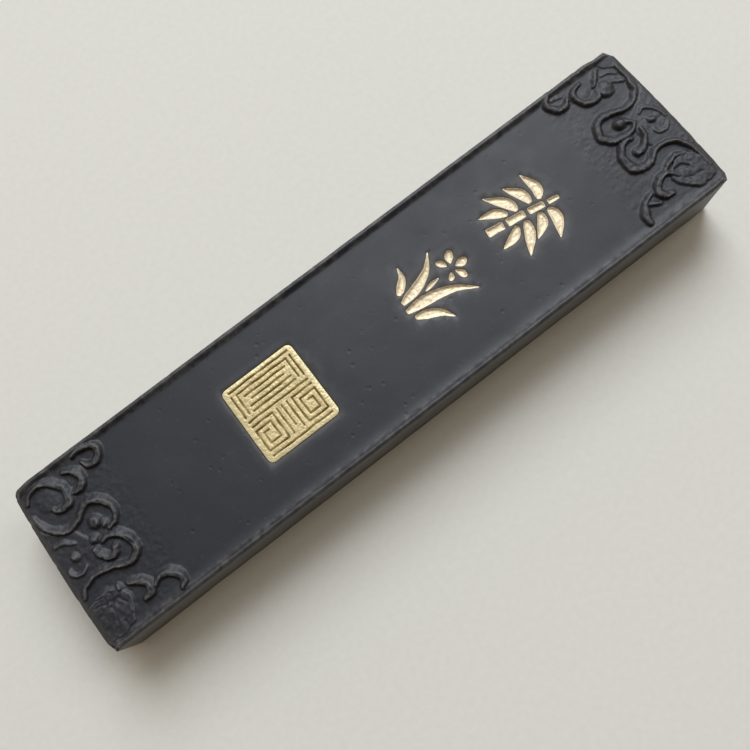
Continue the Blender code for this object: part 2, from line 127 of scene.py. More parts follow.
# ----------------------------------------------------- moulded end scrolls
# Each band: (height, (x, y, width) along its middle), in mm.
BANDS = [
    # right-hand end
    (0.84, ((76.4, 14.4, 0.8), (76.4, 11.9, 1.0), (75.9, 9.3, 1.3), (74.8, 7.1, 1.5), (72.9, 5.9, 1.5),
            (70.6, 5.8, 1.5), (68.4, 6.5, 1.5), (66.2, 7.1, 1.6), (64.4, 6.6, 1.7), (63.3, 5.3, 1.9),
            (63.0, 3.6, 2.0), (63.9, 2.0, 2.0), (65.5, 1.0, 1.8), (67.2, 0.7, 1.6), (68.9, 1.1, 1.3), (70.1, 2.0, 1.0))),
    (0.74, ((68.6, 3.8, 1.4), (69.7, 3.2, 1.1), (70.6, 2.3, 0.8))),
    (0.84, ((67.6, -0.2, 1.1), (66.6, 0.0, 1.4), (65.2, -0.4, 1.6), (63.9, -1.5, 1.7), (63.2, -3.0, 1.9),
            (63.2, -4.7, 2.0), (64.1, -6.2, 2.0), (65.7, -6.9, 1.8), (67.3, -6.6, 1.6), (68.9, -5.6, 1.5),
            (70.9, -5.1, 1.5), (72.9, -5.5, 1.4), (74.7, -6.9, 1.4), (75.9, -9.0, 1.3), (76.5, -11.6, 1.1),
            (76.5, -14.4, 0.8))),
    (0.80, ((70.5, 0.4, 1.0), (70.2, -1.3, 1.3), (69.2, -2.7, 1.5), (67.8, -3.5, 1.8), (66.6, -3.3, 1.8))),
    (0.60, ((72.5, 3.2, 0.9), (74.1, 3.5, 1.2), (75.5, 2.6, 1.2), (76.3, 1.0, 1.0), (76.5, -0.6, 0.8))),
    (0.58, ((72.7, -1.6, 1.0), (73.4, -2.8, 1.3), (74.8, -3.0, 1.3), (75.9, -2.2, 1.0))),
    (0.40, ((75.6, -4.4, 0.7), (76.4, -6.0, 0.8), (76.7, -8.0, 0.7))),
    (0.82, ((67.3, 16.1, 0.9), (65.7, 15.6, 1.3), (64.7, 14.1, 1.6), (65.0, 12.4, 1.7), (66.4, 11.4, 1.7),
            (68.1, 11.3, 1.6), (69.4, 12.0, 1.3))),
    (0.52, ((69.6, 13.7, 1.2), (70.9, 15.1, 1.3), (72.5, 16.5, 1.0))),
    (0.40, ((72.3, 12.7, 1.0), (73.9, 12.1, 1.0), (75.3, 11.1, 0.8))),
    (0.34, ((72.6, 14.8, 0.9), (74.0, 14.4, 0.9), (75.2, 13.4, 0.7))),
    (0.84, ((60.9, 18.3, 1.2), (59.4, 17.2, 1.6), (59.1, 15.7, 1.9), (60.2, 14.3, 2.0), (61.8, 13.9, 1.7),
            (63.2, 14.9, 1.1))),
    (0.34, ((60.9, 17.0, 0.7), (61.9, 16.8, 0.8), (62.8, 16.4, 0.7))),
    (0.82, ((69.9, -12.2, 1.1), (68.4, -10.9, 1.4), (66.7, -10.6, 1.6), (65.0, -11.5, 1.8), (64.2, -12.9, 1.9),
            (64.9, -14.2, 1.7), (66.5, -14.5, 1.1))),
    (0.62, ((68.5, -9.9, 1.0), (70.1, -9.0, 1.3), (72.1, -8.8, 1.3), (74.0, -9.6, 1.0))),
    (0.56, ((69.2, -12.9, 0.8), (70.1, -14.8, 1.1), (71.6, -16.2, 1.1), (73.4, -16.8, 0.8))),
    (0.84, ((62.6, -12.2, 0.9), (61.1, -12.7, 1.5), (59.7, -13.9, 1.8), (58.7, -15.2, 2.0), (58.5, -16.7, 1.7))),
    (0.66, ((60.8, -13.4, 1.2), (62.1, -14.2, 1.3), (63.0, -14.6, 0.9))),
    # left-hand end
    (0.84, ((-76.6, 11.6, 0.8), (-76.1, 9.6, 1.1), (-75.1, 7.5, 1.4), (-73.4, 6.0, 1.6), (-71.4, 5.3, 1.6),
            (-69.5, 5.7, 1.6), (-67.8, 6.9, 1.7), (-66.0, 7.6, 1.8), (-64.3, 7.2, 1.9), (-62.9, 5.9, 1.9),
            (-62.2, 4.2, 1.8), (-62.2, 2.6, 1.6), (-63.1, 1.3, 1.4), (-64.6, 0.7, 1.1))),
    (0.84, ((-67.4, -0.6, 1.0), (-65.6, -0.6, 1.5), (-64.0, -1.4, 1.9), (-62.9, -2.9, 1.9), (-62.5, -4.7, 1.9),
            (-63.0, -6.3, 1.9), (-64.5, -7.3, 1.8), (-66.3, -7.1, 1.6), (-68.3, -6.1, 1.5), (-70.6, -5.4, 1.5),
            (-72.9, -5.2, 1.4), (-75.0, -5.9, 1.3), (-76.4, -7.8, 0.9))),
    (0.82, ((-69.5, -0.9, 1.2), (-69.2, -2.6, 1.5), (-68.1, -4.0, 1.8), (-66.6, -4.2, 1.8), (-65.9, -3.1, 1.5))),
    (0.56, ((-75.9, 4.3, 1.0), (-74.4, 4.0, 1.4), (-73.0, 3.1, 1.4), (-72.2, 2.4, 0.9))),
    (0.60, ((-75.8, -1.4, 1.1), (-75.2, -2.8, 1.4), (-73.9, -3.3, 1.4), (-72.6, -2.6, 1.0))),
    (0.78, ((-76.0, 14.9, 0.9), (-74.6, 16.3, 1.2), (-72.6, 16.6, 1.5), (-70.5, 15.8, 1.7), (-68.9, 14.1, 1.9),
            (-68.1, 12.2, 2.0), (-68.5, 10.5, 2.0), (-70.0, 9.5, 1.8), (-71.6, 9.7, 1.4), (-72.4, 10.7, 0.8))),
    (0.84, ((-66.9, 15.8, 0.9), (-65.4, 15.0, 1.4), (-64.2, 13.5, 1.9), (-64.3, 12.0, 2.1), (-65.6, 11.0, 1.9),
            (-67.2, 11.3, 1.0))),
    (0.84, ((-63.4, 17.4, 1.1), (-61.1, 17.8, 1.4), (-59.3, 17.2, 1.7), (-58.3, 15.8, 1.9), (-58.9, 14.3, 1.9),
            (-60.4, 13.4, 1.8), (-61.9, 14.1, 1.4), (-62.5, 15.1, 0.8))),
    (0.50, ((-75.9, -9.9, 0.6), (-73.9, -9.2, 0.8), (-71.7, -9.4, 1.0), (-70.1, -10.5, 1.2), (-69.4, -12.2, 1.0),
            (-69.8, -14.3, 0.8), (-70.9, -15.9, 0.6))),
    (0.84, ((-67.5, -10.3, 1.0), (-65.9, -11.2, 1.6), (-64.6, -12.7, 1.9), (-64.8, -14.2, 2.0), (-66.4, -14.9, 1.4))),
    (0.84, ((-63.5, -13.9, 1.2), (-61.9, -13.2, 1.6), (-60.1, -13.6, 1.9), (-58.7, -14.9, 2.0), (-58.4, -16.4, 1.9),
            (-59.4, -17.6, 1.3))),
]
# Rounded bosses: x, y, radius across, radius along, height.
KNOBS = [(67.8, 3.9, 1.45, 1.35, 0.86), (73.5, 0.6, 1.2, 1.15, 0.72), (71.0, 11.9, 2.0, 1.9, 0.62),
         (72.6, -13.0, 3.4, 3.6, 0.40), (-66.6, 3.7, 1.5, 1.4, 0.86), (-68.7, 1.0, 1.1, 1.0, 0.66),
         (-65.1, 2.1, 0.9, 0.8, 0.55), (-73.4, 0.1, 1.25, 1.15, 0.66), (-72.9, -13.0, 3.4, 3.9, 0.36),
         (-72.2, 12.9, 2.6, 2.5, 0.16), (66.8, 13.6, 1.4, 1.3, 0.22), (-69.6, -10.0, 0.9, 0.9, 0.72)]
KNOBS = [k for k in KNOBS if k[:2] not in ((72.6, -13.0), (-72.9, -13.0))]
# Raised ground between the bands: height and outline.
GROUNDS = [
    (0.46, ((68.2, -12.2), (69.4, -14.6), (71.4, -16.7), (74.0, -17.4), (76.4, -16.6), (76.8, -12.5), (75.6, -10.0),
            (73.6, -9.0), (71.0, -9.1), (69.2, -10.2))),
    (0.26, ((69.4, 1.6), (70.4, 4.4), (72.6, 5.2), (74.8, 6.2), (77.0, 8.4), (78.4, 8.0), (78.4, -9.0), (76.6, -8.6),
            (75.0, -6.4), (73.0, -5.0), (70.8, -4.6), (69.6, -3.0))),
    (0.22, ((73.2, 18.0), (74.2, 16.0), (76.2, 14.2), (78.4, 14.0), (78.4, 18.6))),
    (0.44, ((-77.0, -9.8), (-74.6, -8.7), (-71.8, -8.7), (-69.4, -9.8), (-68.3, -11.9), (-68.8, -14.3),
            (-70.3, -16.7), (-72.8, -17.8), (-77.0, -17.6))),
    (0.24, ((-69.4, 2.0), (-70.6, 4.6), (-72.8, 5.4), (-74.8, 6.6), (-77.0, 9.0), (-78.4, 8.6), (-78.4, -8.2),
            (-76.4, -7.4), (-74.8, -5.6), (-72.8, -4.9), (-70.6, -5.0), (-69.2, -3.4))),
]
# Gouges: depth and (x, y, width) along the middle.
GOUGES = [(0.30, ((70.1, -10.7, 0.8), (71.3, -11.0, 1.2), (72.5, -11.9, 0.9))),
          (0.16, ((-73.0, -12.0, 0.6), (-71.8, -11.4, 0.9), (-70.6, -11.7, 0.9), (-70.1, -12.8, 0.6))),
          (0.22, ((73.4, -16.9, 0.5), (74.6, -17.4, 0.6), (75.8, -17.3, 0.5))),
          (0.16, ((70.4, -13.4, 0.5), (71.6, -13.9, 0.6))), (0.16, ((73.2, -14.2, 0.6), (74.3, -14.6, 0.5)))]
# Fine hatching between the scrolls: centre, angle, length, count, pitch.
HATCHES = [((68.2, 17.0), 2, 3.2, 3, 0.55), ((71.6, -7.3), -6, 3.4, 3, 0.55), ((73.9, -8.2), -30, 2.4, 3, 0.55),
           ((71.7, 17.4), 14, 2.6, 2, 0.5), ((74.8, 12.4), -28, 1.6, 3, 0.6), ((-74.9, 13.4), 40, 1.8, 3, 0.6),
           ((-66.6, 12.9), 30, 1.2, 3, 0.5), ((-61.6, -15.6), -5, 2.2, 3, 0.5),
           ((-74.6, -9.9), -12, 2.4, 3, 0.6), ((61.5, 16.4), 10, 1.6, 3, 0.5)]


def relief(x0, y0):
    """Height of the moulded scrolls over the panel."""
    # worn, hand-cut edges: the bands wander a little
    x = x0 + 0.24 * noise3(x0, y0, 0 * x0, 1.9, 50) + 0.10 * noise3(x0, y0, 0 * x0, 0.65, 51)
    y = y0 + 0.24 * noise3(x0, y0, 0 * x0, 1.9, 52) + 0.10 * noise3(x0, y0, 0 * x0, 0.65, 53)
    r = np.zeros(x.shape)
    for h, outline in GROUNDS:
        poly = np.array(outline)
        m = ((x > poly[:, 0].min() - 1) & (x < poly[:, 0].max() + 1)
             & (y > poly[:, 1].min() - 1) & (y < poly[:, 1].max() + 1))
        if not m.any():
            continue
        px, py = x[m], y[m]
        d = edge_distance(px, py, poly)
        e = np.where(inside(px, py, poly), d, -d)
        rough = 0.05 * noise3(px, py, 0 * px, 1.2, 57) + 0.05 * noise3(px, py, 0 * px, 0.55, 58)
        r[m] = np.maximum(r[m], (h + rough * (h > 0.3)) * smooth((e + 0.20) / 0.55))
    for n, (h, ctrl) in enumerate(BANDS):
        path = spline(ctrl, 0.14)
        wid = path[:, 2]
        lo_, hi_ = path[:, :2].min(0) - 1.8, path[:, :2].max(0) + 1.8
        m = (x > lo_[0]) & (x < hi_[0]) & (y > lo_[1]) & (y < hi_[1])
        if not m.any():
            continue
        px, py = x[m], y[m]
        best, lean = np.full(px.shape, -9.0), np.zeros(px.shape)
        for k in range(len(path)):
            dx, dy = px - path[k, 0], py - path[k, 1]
            d = np.hypot(dx, dy)
            e = wid[k] / 2 - d
            q = e > best
            best[q] = e[q]
            lean[q] = (0.42 * dx[q] + 0.91 * dy[q]) / np.maximum(d[q], 0.35)
        # the gouge was held at a slant: one flank is long and easy, the other drops short
        out = 0.24 + 0.56 * lean
        run = 0.86 + 0.66 * lean
        t = np.clip((best + out) / np.maximum(run, 0.30), 0, 1)
        rise = 0.40 * smooth(t) + 0.60 * t
        lump = 1 + 0.18 * noise3(px, py, 0 * px, 2.3, 54) + 0.13 * noise3(px, py, 0 * px, 0.75, 55)
        r[m] = smax(r[m], 1.12 * h * rise * lump, 0.05)
    for cx, cy, rx, ry, h in KNOBS:
        d = np.hypot((x - cx) / rx, (y - cy) / ry)
        m = d < 2.0
        e = (1 - d[m]) * min(rx, ry)
        lean = (0.42 * (x[m] - cx) + 0.91 * (y[m] - cy)) / np.maximum(np.hypot(x[m] - cx, y[m] - cy), 0.35)
        t = np.clip((e + 0.30 + 0.30 * lean) / (1.20 + 0.45 * lean), 0, 1)
        boss = 1.25 * h * (0.4 * smooth(t) + 0.6 * t) * (1 + 0.25 * noise3(x[m], y[m], 0 * x[m], 1.0, 59))
        r[m] = smax(r[m], boss, 0.05)
    for dep, ctrl in GOUGES:
        path = spline(ctrl, 0.14)
        for_m = (np.abs(x - path[:, 0].mean()) < 5) & (np.abs(y - path[:, 1].mean()) < 5)
        px, py = x[for_m], y[for_m]
        best = np.full(px.shape, -9.0)
        for k in range(len(path)):
            best = np.maximum(best, path[k, 2] / 2 - np.hypot(px - path[k, 0], py - path[k, 1]))
        r[for_m] -= dep * smooth((best + 0.2) / 0.5) * (r[for_m] > -0.2)
    for (cx, cy), deg, length, count, pitch in HATCHES:
        a = math.radians(deg)
        u = (x - cx) * math.cos(a) + (y - cy) * math.sin(a)
        v = -(x - cx) * math.sin(a) + (y - cy) * math.cos(a)
        within = smooth((length / 2 - np.abs(u)) / 0.5) * smooth((count * pitch / 2 - np.abs(v)) / 0.2)
        r = r - within * 0.13 * (0.5 + 0.5 * np.cos(2 * math.pi * v / pitch)) * (1 + 0.6 * noise3(u, v, 0 * u, 0.9, 7))
    return r


# ------------------------------------------------------------ cross-section
# Height over the panel against distance from the middle line, near side and far side.
NEAR_Y = np.array([0.0, 16.3, 16.8, 17.3, 17.7, 17.94, 18.03, 18.10, 18.17, 18.24, 18.36, 18.52, 18.68, 18.82,
                   18.94, 19.04, 19.12, 19.18, 19.2])
NEAR_Z = np.array([0.0, 0.01, 0.075, 0.18, 0.245, 0.27, 0.27, 0.245, 0.29, 0.42, 0.535, 0.60, 0.625, 0.575,
                   0.44, 0.27, 0.10, -0.12, -0.30])
FAR_Y = np.array([0.0, 16.6, 17.0, 17.35, 17.7, 18.0, 18.25, 18.42, 18.56, 18.72, 18.88, 19.0, 19.09, 19.16, 19.2])
FAR_Z = np.array([0.0, 0.0, 0.005, 0.045, 0.22, 0.53, 0.71, 0.74, 0.71, 0.66, 0.60, 0.51, 0.36, 0.12, -0.24])


def across(y):
    a = np.abs(y) * 19.2 / HW
    return np.where(y < 0, np.interp(a, NEAR_Y, NEAR_Z), np.interp(a, FAR_Y, FAR_Z))


END_E = np.array([0.0, 0.03, 0.10, 0.26, 0.50, 0.80, 1.15, 1.55, 2.0, 3.0])
END_Z = np.array([-1.05, -0.82, -0.62, -0.40, -0.18, 0.02, 0.22, 0.44, 0.64, 1.2])

LEFT_E = np.array([0.0, 0.05, 0.15, 0.35, 0.70, 1.05, 1.40, 1.75, 2.2, 3.0])
LEFT_Z = np.array([-1.40, -1.18, -1.00, -0.80, -0.50, -0.20, 0.10, 0.36, 0.66, 1.2])

CHIPS = [  # centre, radius, depth: small losses along the edges
    (-77.0, -19.0, 1.9, 1.3), (-76.9, 18.9, 1.3, 0.5), (76.9, -18.9, 1.2, 0.6), (77.2, 18.6, 1.3, 0.5),
    (-20.0, -19.25, 0.7, 0.16), (33.0, -19.2, 0.9, 0.14), (-51.0, -18.9, 0.8, 0.16), (61.0, 19.2, 0.8, 0.20),
    (12.0, 19.2, 0.6, 0.14), (-38.0, 19.2, 0.7, 0.14), (68.5, 19.1, 0.9, 0.22), (-69.0, 19.1, 0.8, 0.18),
    (77.4, 4.0, 0.8, 0.25), (-77.4, -7.0, 0.9, 0.25), (-77.5, 2.0, 0.7, 0.2), (-77.3, 12.0, 0.8, 0.22),
    (77.4, -9.0, 0.7, 0.2),
]
CHIPS = [(cx * HL / 77.5, cy, rr, dep) for cx, cy, rr, dep in CHIPS]


def top_height(x, y):
    """Height over the panel of the cake's face at a plan point, without the sunken marks."""
    r = np.zeros(x.shape)
    m = np.abs(x) > END_X - 1
    r[m] = relief(x[m], y[m])
    rim = across(y)
    # the rim is a little soft and uneven along its length
    wob = noise3(x, 0 * x, np.sign(y) * 7, 6.0, 1) * 0.5 + noise3(x, 0 * x, np.sign(y) * 3, 1.6, 2) * 0.5
    edge = smooth((np.abs(y) - 17.3) / 0.5)
    rim = rim * (1 + 0.05 * wob) + edge * (0.030 * noise3(x, y, 0 * x, 0.8, 4) + 0.022 * noise3(x, y * 0.6, 0 * x, 0.4, 15))
    h = smax(rim, r, 0.06)
    h = h + 0.022 * noise3(x, y, 0 * x, 3.2, 6) + 0.030 * noise3(x, y, 0 * x, 9.0, 8)
    rough = smooth((np.abs(x) - 56.0) / 3.0)
    broken = smooth(r / 0.35) * smooth((noise3(x, y, 0 * x, 4.5, 16) + 0.25) / 0.5)
    h = h + rough * (0.028 * noise3(x, y, 0 * x, 0.9, 9) + 0.018 * noise3(x, y, 0 * x, 0.45, 10))
    h = h + broken * (0.055 * noise3(x, y, 0 * x, 0.75, 17) + 0.030 * noise3(x, y, 0 * x, 0.42, 18))
    e = HL - np.abs(x)
    cap = np.where(x < 0, np.interp(e, LEFT_E, LEFT_Z), np.interp(e, END_E, END_Z))
    cap = cap + 0.06 * noise3(x, y, 0 * x, 1.4, 12) + 0.04 * noise3(x, y, 0 * x, 0.6, 13)
    h = smin(h, cap, 0.12)
    for cx, cy, rr, dep in CHIPS:
        d = np.hypot(x - cx, (y - cy))
        m = d < rr
        h[m] -= dep * (1 - (d[m] / rr) ** 2) * (1 + 0.35 * noise3(x[m], y[m], 0 * x[m], 0.5, 14))
    return h


def plan(x, y):
    """Maps the square working plan to the cake's real outline: bowed ends, blunted corners."""
    sx, sy = np.sign(x), np.sign(y)
    ax, ay = np.abs(x), np.abs(y)
    # round corners, each a little different
    for cx, cy, rx, ry in ((1, 1, 2.2, 1.8), (1, -1, 1.0, 0.9), (-1, 1, 0.8, 0.8), (-1, -1, 0.6, 0.6)):
        m = (sx == cx) & (sy == cy) & (ax > HL - rx) & (ay > HW - ry)
        u, v = (ax[m] - HL + rx) / rx, (ay[m] - HW + ry) / ry
        ax[m] = HL - rx + rx * u * np.sqrt(1 - v * v / 2)
        ay[m] = HW - ry + ry * v * np.sqrt(1 - u * u / 2)
    reach = smooth((ax - END_X) / (HL - END_X))
    bow = 0.45 * (ay / HW) ** 2 + np.where(sx > 0, 0.10, 0.0) * (sy < 0) * (ay / HW)
    wave = 0.05 * noise3(x * 0, y, sx * 5, 3.5, 20) + 0.03 * noise3(x * 0, y, sx * 9, 1.1, 21)
    ax = ax - reach * (bow + np.maximum(wave, -0.02) * 0.8 + 0.02) + np.where(sx > 0, 0.24, 0.0) * reach
    # the long edges drop slightly at the far corners
    edge = smooth((ay - 14) / (HW - 14))
    drop = np.where((sy > 0) & (sx < 0), 0.45 * smooth((ax - 72.5) / 4.5), 0.0)
    drop = drop + np.where((sy > 0) & (sx > 0), 0.42 * smooth((ax - 70.5) / 3.5), 0.0)
    drop = drop + np.where((sy < 0) & (sx > 0), 0.18 * smooth((ax - 73) / 4), 0.0)
    wave = 0.05 * noise3(x, 0 * y, sy * 4, 8.0, 22) + 0.03 * noise3(x, 0 * y, sy * 8, 1.8, 23)
    ay = ay - edge * (drop + np.abs(wave) * 0.7)
    return sx * ax, sy * ay


# ------------------------------------------------------------- the motifs
STALK = (((-1.75, -8.3), (-1.15, -4.3), 1.90, 1.75), ((-1.00, -3.6), (-0.45, 0.7), 1.75, 1.60),
         ((-0.30, 1.4), (0.40, 5.1), 1.55, 1.40), ((0.55, 5.8), (1.05, 8.5), 1.30, 0.90))
BAMBOO_LEAVES = (
    (((1.60, 5.05), (4.4, 5.3), (8.3, 3.0)), 2.42), (((1.22, 3.22), (3.5, 2.1), (5.7, -0.9)), 2.30),
    (((-0.95, 4.95), (-3.5, 6.1), (-7.7, 5.1)), 2.30), (((-1.50, 3.05), (-4.1, 2.7), (-7.6, 0.3)), 2.42),
    (((0.85, -0.15), (3.4, -1.2), (7.6, -4.3)), 2.42), (((0.68, -2.20), (2.2, -4.3), (3.0, -7.8)), 2.18),
    (((-1.90, -0.10), (-4.5, -0.9), (-8.4, -4.3)), 2.42), (((-2.42, -2.22), (-4.2, -4.3), (-5.4, -7.8)), 2.18))
ORCHID_LEAVES = (
    (((-1.30, -7.7), (-2.2, -3.2), (-4.1, 0.7), (-7.0, 3.3)), 2.15),
    (((0.60, -8.0), (1.0, -2.6), (2.5, 2.7), (5.6, 7.0)), 2.30),
    (((2.55, -7.3), (3.6, -4.5), (5.1, -2.2), (7.5, -0.6)), 2.00),
    (((-3.20, -7.2), (-4.5, -5.4), (-6.1, -4.1), (-8.2, -3.7)), 1.80))
ORCHID_STEM = (((-0.55, -2.3), (-0.95, -0.2), (-1.15, 1.7)), 1.10)
BLOOM_AT = (-1.2, 5.0)
BLOOM = ((22, 3.7, 1.65), (88, 3.7, 2.00), (150, 3.9, 1.95), (214, 3.5, 1.60), (318, 2.9, 1.40))


def stroke_outline(ctrl, width, head):
    path = spline(ctrl, 0.22)
    q = side_normals(path)
    t = np.linspace(0, 1, len(path))
    rise = np.sin(math.pi / 2 * np.minimum(1.0, (t + 0.10) / (head + 0.10))) ** 0.8
    fall = np.where(t < head, 1.0, 1 - (np.clip((t - head) / (1 - head), 0, 1)) ** 1.7)
    w = np.maximum(width * rise * fall, 0.30)[:, None] / 2
    ends = [path[0] - (path[1] - path[0]) * 0.0]
    return np.vstack([path + q * w, (path - q * w)[::-1]])


def bar_outline(a, b, wa, wb, flare=0.18):
    a, b = np.array(a), np.array(b)
    t = (b - a) / np.linalg.norm(b - a)
    q = np.array([-t[1], t[0]])
    s = np.array([0.0, 0.04, 0.12, 0.22, 0.34, 0.5, 0.66, 0.78, 0.88, 0.96, 1.0])
    k = np.array([0.42, 0.5 + flare / 2, 0.5, 0.475, 0.462, 0.46, 0.465, 0.48, 0.5, 0.5 + flare / 2, 0.42])
    w = ((wa + (wb - wa) * s) * k)[:, None]
    p = a + (b - a) * s[:, None]
    return np.vstack([p + q * w, (p - q * w)[::-1]])


def on_cake(outline, at):
    return np.stack([at[0] + outline[:, 1], at[1] - outline[:, 0]], 1)


def motif_outlines():
    out = []
    for i, (a, b, wa, wb) in enumerate(STALK, 1):
        out.append((f"gilt_bamboo_stalk_{i}", on_cake(bar_outline(a, b, wa, wb), BAMBOO_AT)))
    for i, (ctrl, w) in enumerate(BAMBOO_LEAVES, 1):
        out.append((f"gilt_bamboo_leaf_{i}", on_cake(stroke_outline(ctrl, w, 0.38), BAMBOO_AT)))
    for i, (ctrl, w) in enumerate(ORCHID_LEAVES, 1):
        out.append((f"gilt_orchid_leaf_{i}", on_cake(stroke_outline(ctrl, w, 0.30), ORCHID_AT)))
    out.append(("gilt_orchid_stem", on_cake(stroke_outline(*ORCHID_STEM, 0.5), ORCHID_AT)))
    c = np.array(BLOOM_AT)
    for i, (deg, reach, w) in enumerate(BLOOM, 1):
        a = math.radians(deg)
        d = np.array([math.cos(a), math.sin(a)])
        bend = np.array([-d[1], d[0]]) * 0.18 * (1 if i % 2 else -1)
        ctrl = (c + d * reach, c + d * (reach * 0.62) + bend, c + d * 0.85)
        out.append((f"gilt_orchid_petal_{i}", on_cake(stroke_outline(ctrl, w, 0.45), ORCHID_AT)))
    return out


def area2(poly):
    x, y = poly[:, 0], poly[:, 1]
    return float(np.sum(x * np.roll(y, -1) - np.roll(x, -1) * y))


def resample(poly, step):
    """A closed outline with points about step apart, corners eased."""
    seg = np.linalg.norm(np.roll(poly, -1, 0) - poly, axis=1)
    s = np.concatenate([[0], np.cumsum(seg)])
    n = max(12, int(s[-1] / step))
    q = np.linspace(0, s[-1], n, endpoint=False)
    cl = np.vstack([poly, poly[:1]])
    out = np.stack([np.interp(q, s, cl[:, 0]), np.interp(q, s, cl[:, 1])], 1)
    for _ in range(2):
        out = 0.5 * out + 0.25 * (np.roll(out, 1, 0) + np.roll(out, -1, 0))
    return out


def offset(poly, d):
    """Moves a counter-clockwise outline outward by d (inward when negative)."""
    t = np.roll(poly, -1, 0) - np.roll(poly, 1, 0)
    t /= np.linalg.norm(t, axis=1)[:, None] + 1e-12
    return poly + np.stack([t[:, 1], -t[:, 0]], 1) * d


def inside(px, py, poly):
    c = np.zeros(px.shape, bool)
    x0, y0 = poly[:, 0], poly[:, 1]
    x1, y1 = np.roll(x0, -1), np.roll(y0, -1)
    for a, b, c0, d0 in zip(x0, y0, x1, y1):
        m = (b > py) != (d0 > py)
        with np.errstate(divide="ignore", invalid="ignore"):
            xx = (c0 - a) * (py - b) / (d0 - b) + a
        c ^= m & (px < xx)
    return c


def edge_distance(px, py, poly):
    a, b = poly, np.roll(poly, -1, 0)
    best = np.full(px.shape, 1e9)
    for (ax, ay), (bx, by) in zip(a, b):
        dx, dy = bx - ax, by - ay
        t = np.clip(((px - ax) * dx + (py - ay) * dy) / (dx * dx + dy * dy + 1e-12), 0, 1)
        best = np.minimum(best, np.hypot(px - ax - t * dx, py - ay - t * dy))
    return best


def rounded_rect(cx, cy, w, h, r, step=0.5):
    pts = []
    for sx, sy, a0 in ((1, 1, 0), (-1, 1, 90), (-1, -1, 180), (1, -1, 270)):
        for k in range(7):
            a = math.radians(a0 + 15 * k)
            pts.append((cx + sx * (w / 2 - r) + r * math.cos(a), cy + sy * (h / 2 - r) + r * math.sin(a)))
    return np.array(pts)


OUTLINES = []
for name, poly in motif_outlines():
    if area2(poly) < 0:
        poly = poly[::-1]
    poly = resample(poly, 0.20)
    wob = noise3(poly[:, 0], poly[:, 1], 0 * poly[:, 0], 0.8, 30) * 0.05 + noise3(poly[:, 0], poly[:, 1], 0 * poly[:, 0], 0.35, 31) * 0.025
    poly = poly + (offset(poly, 1.0) - poly) * wob[:, None]
    OUTLINES.append((name, poly))


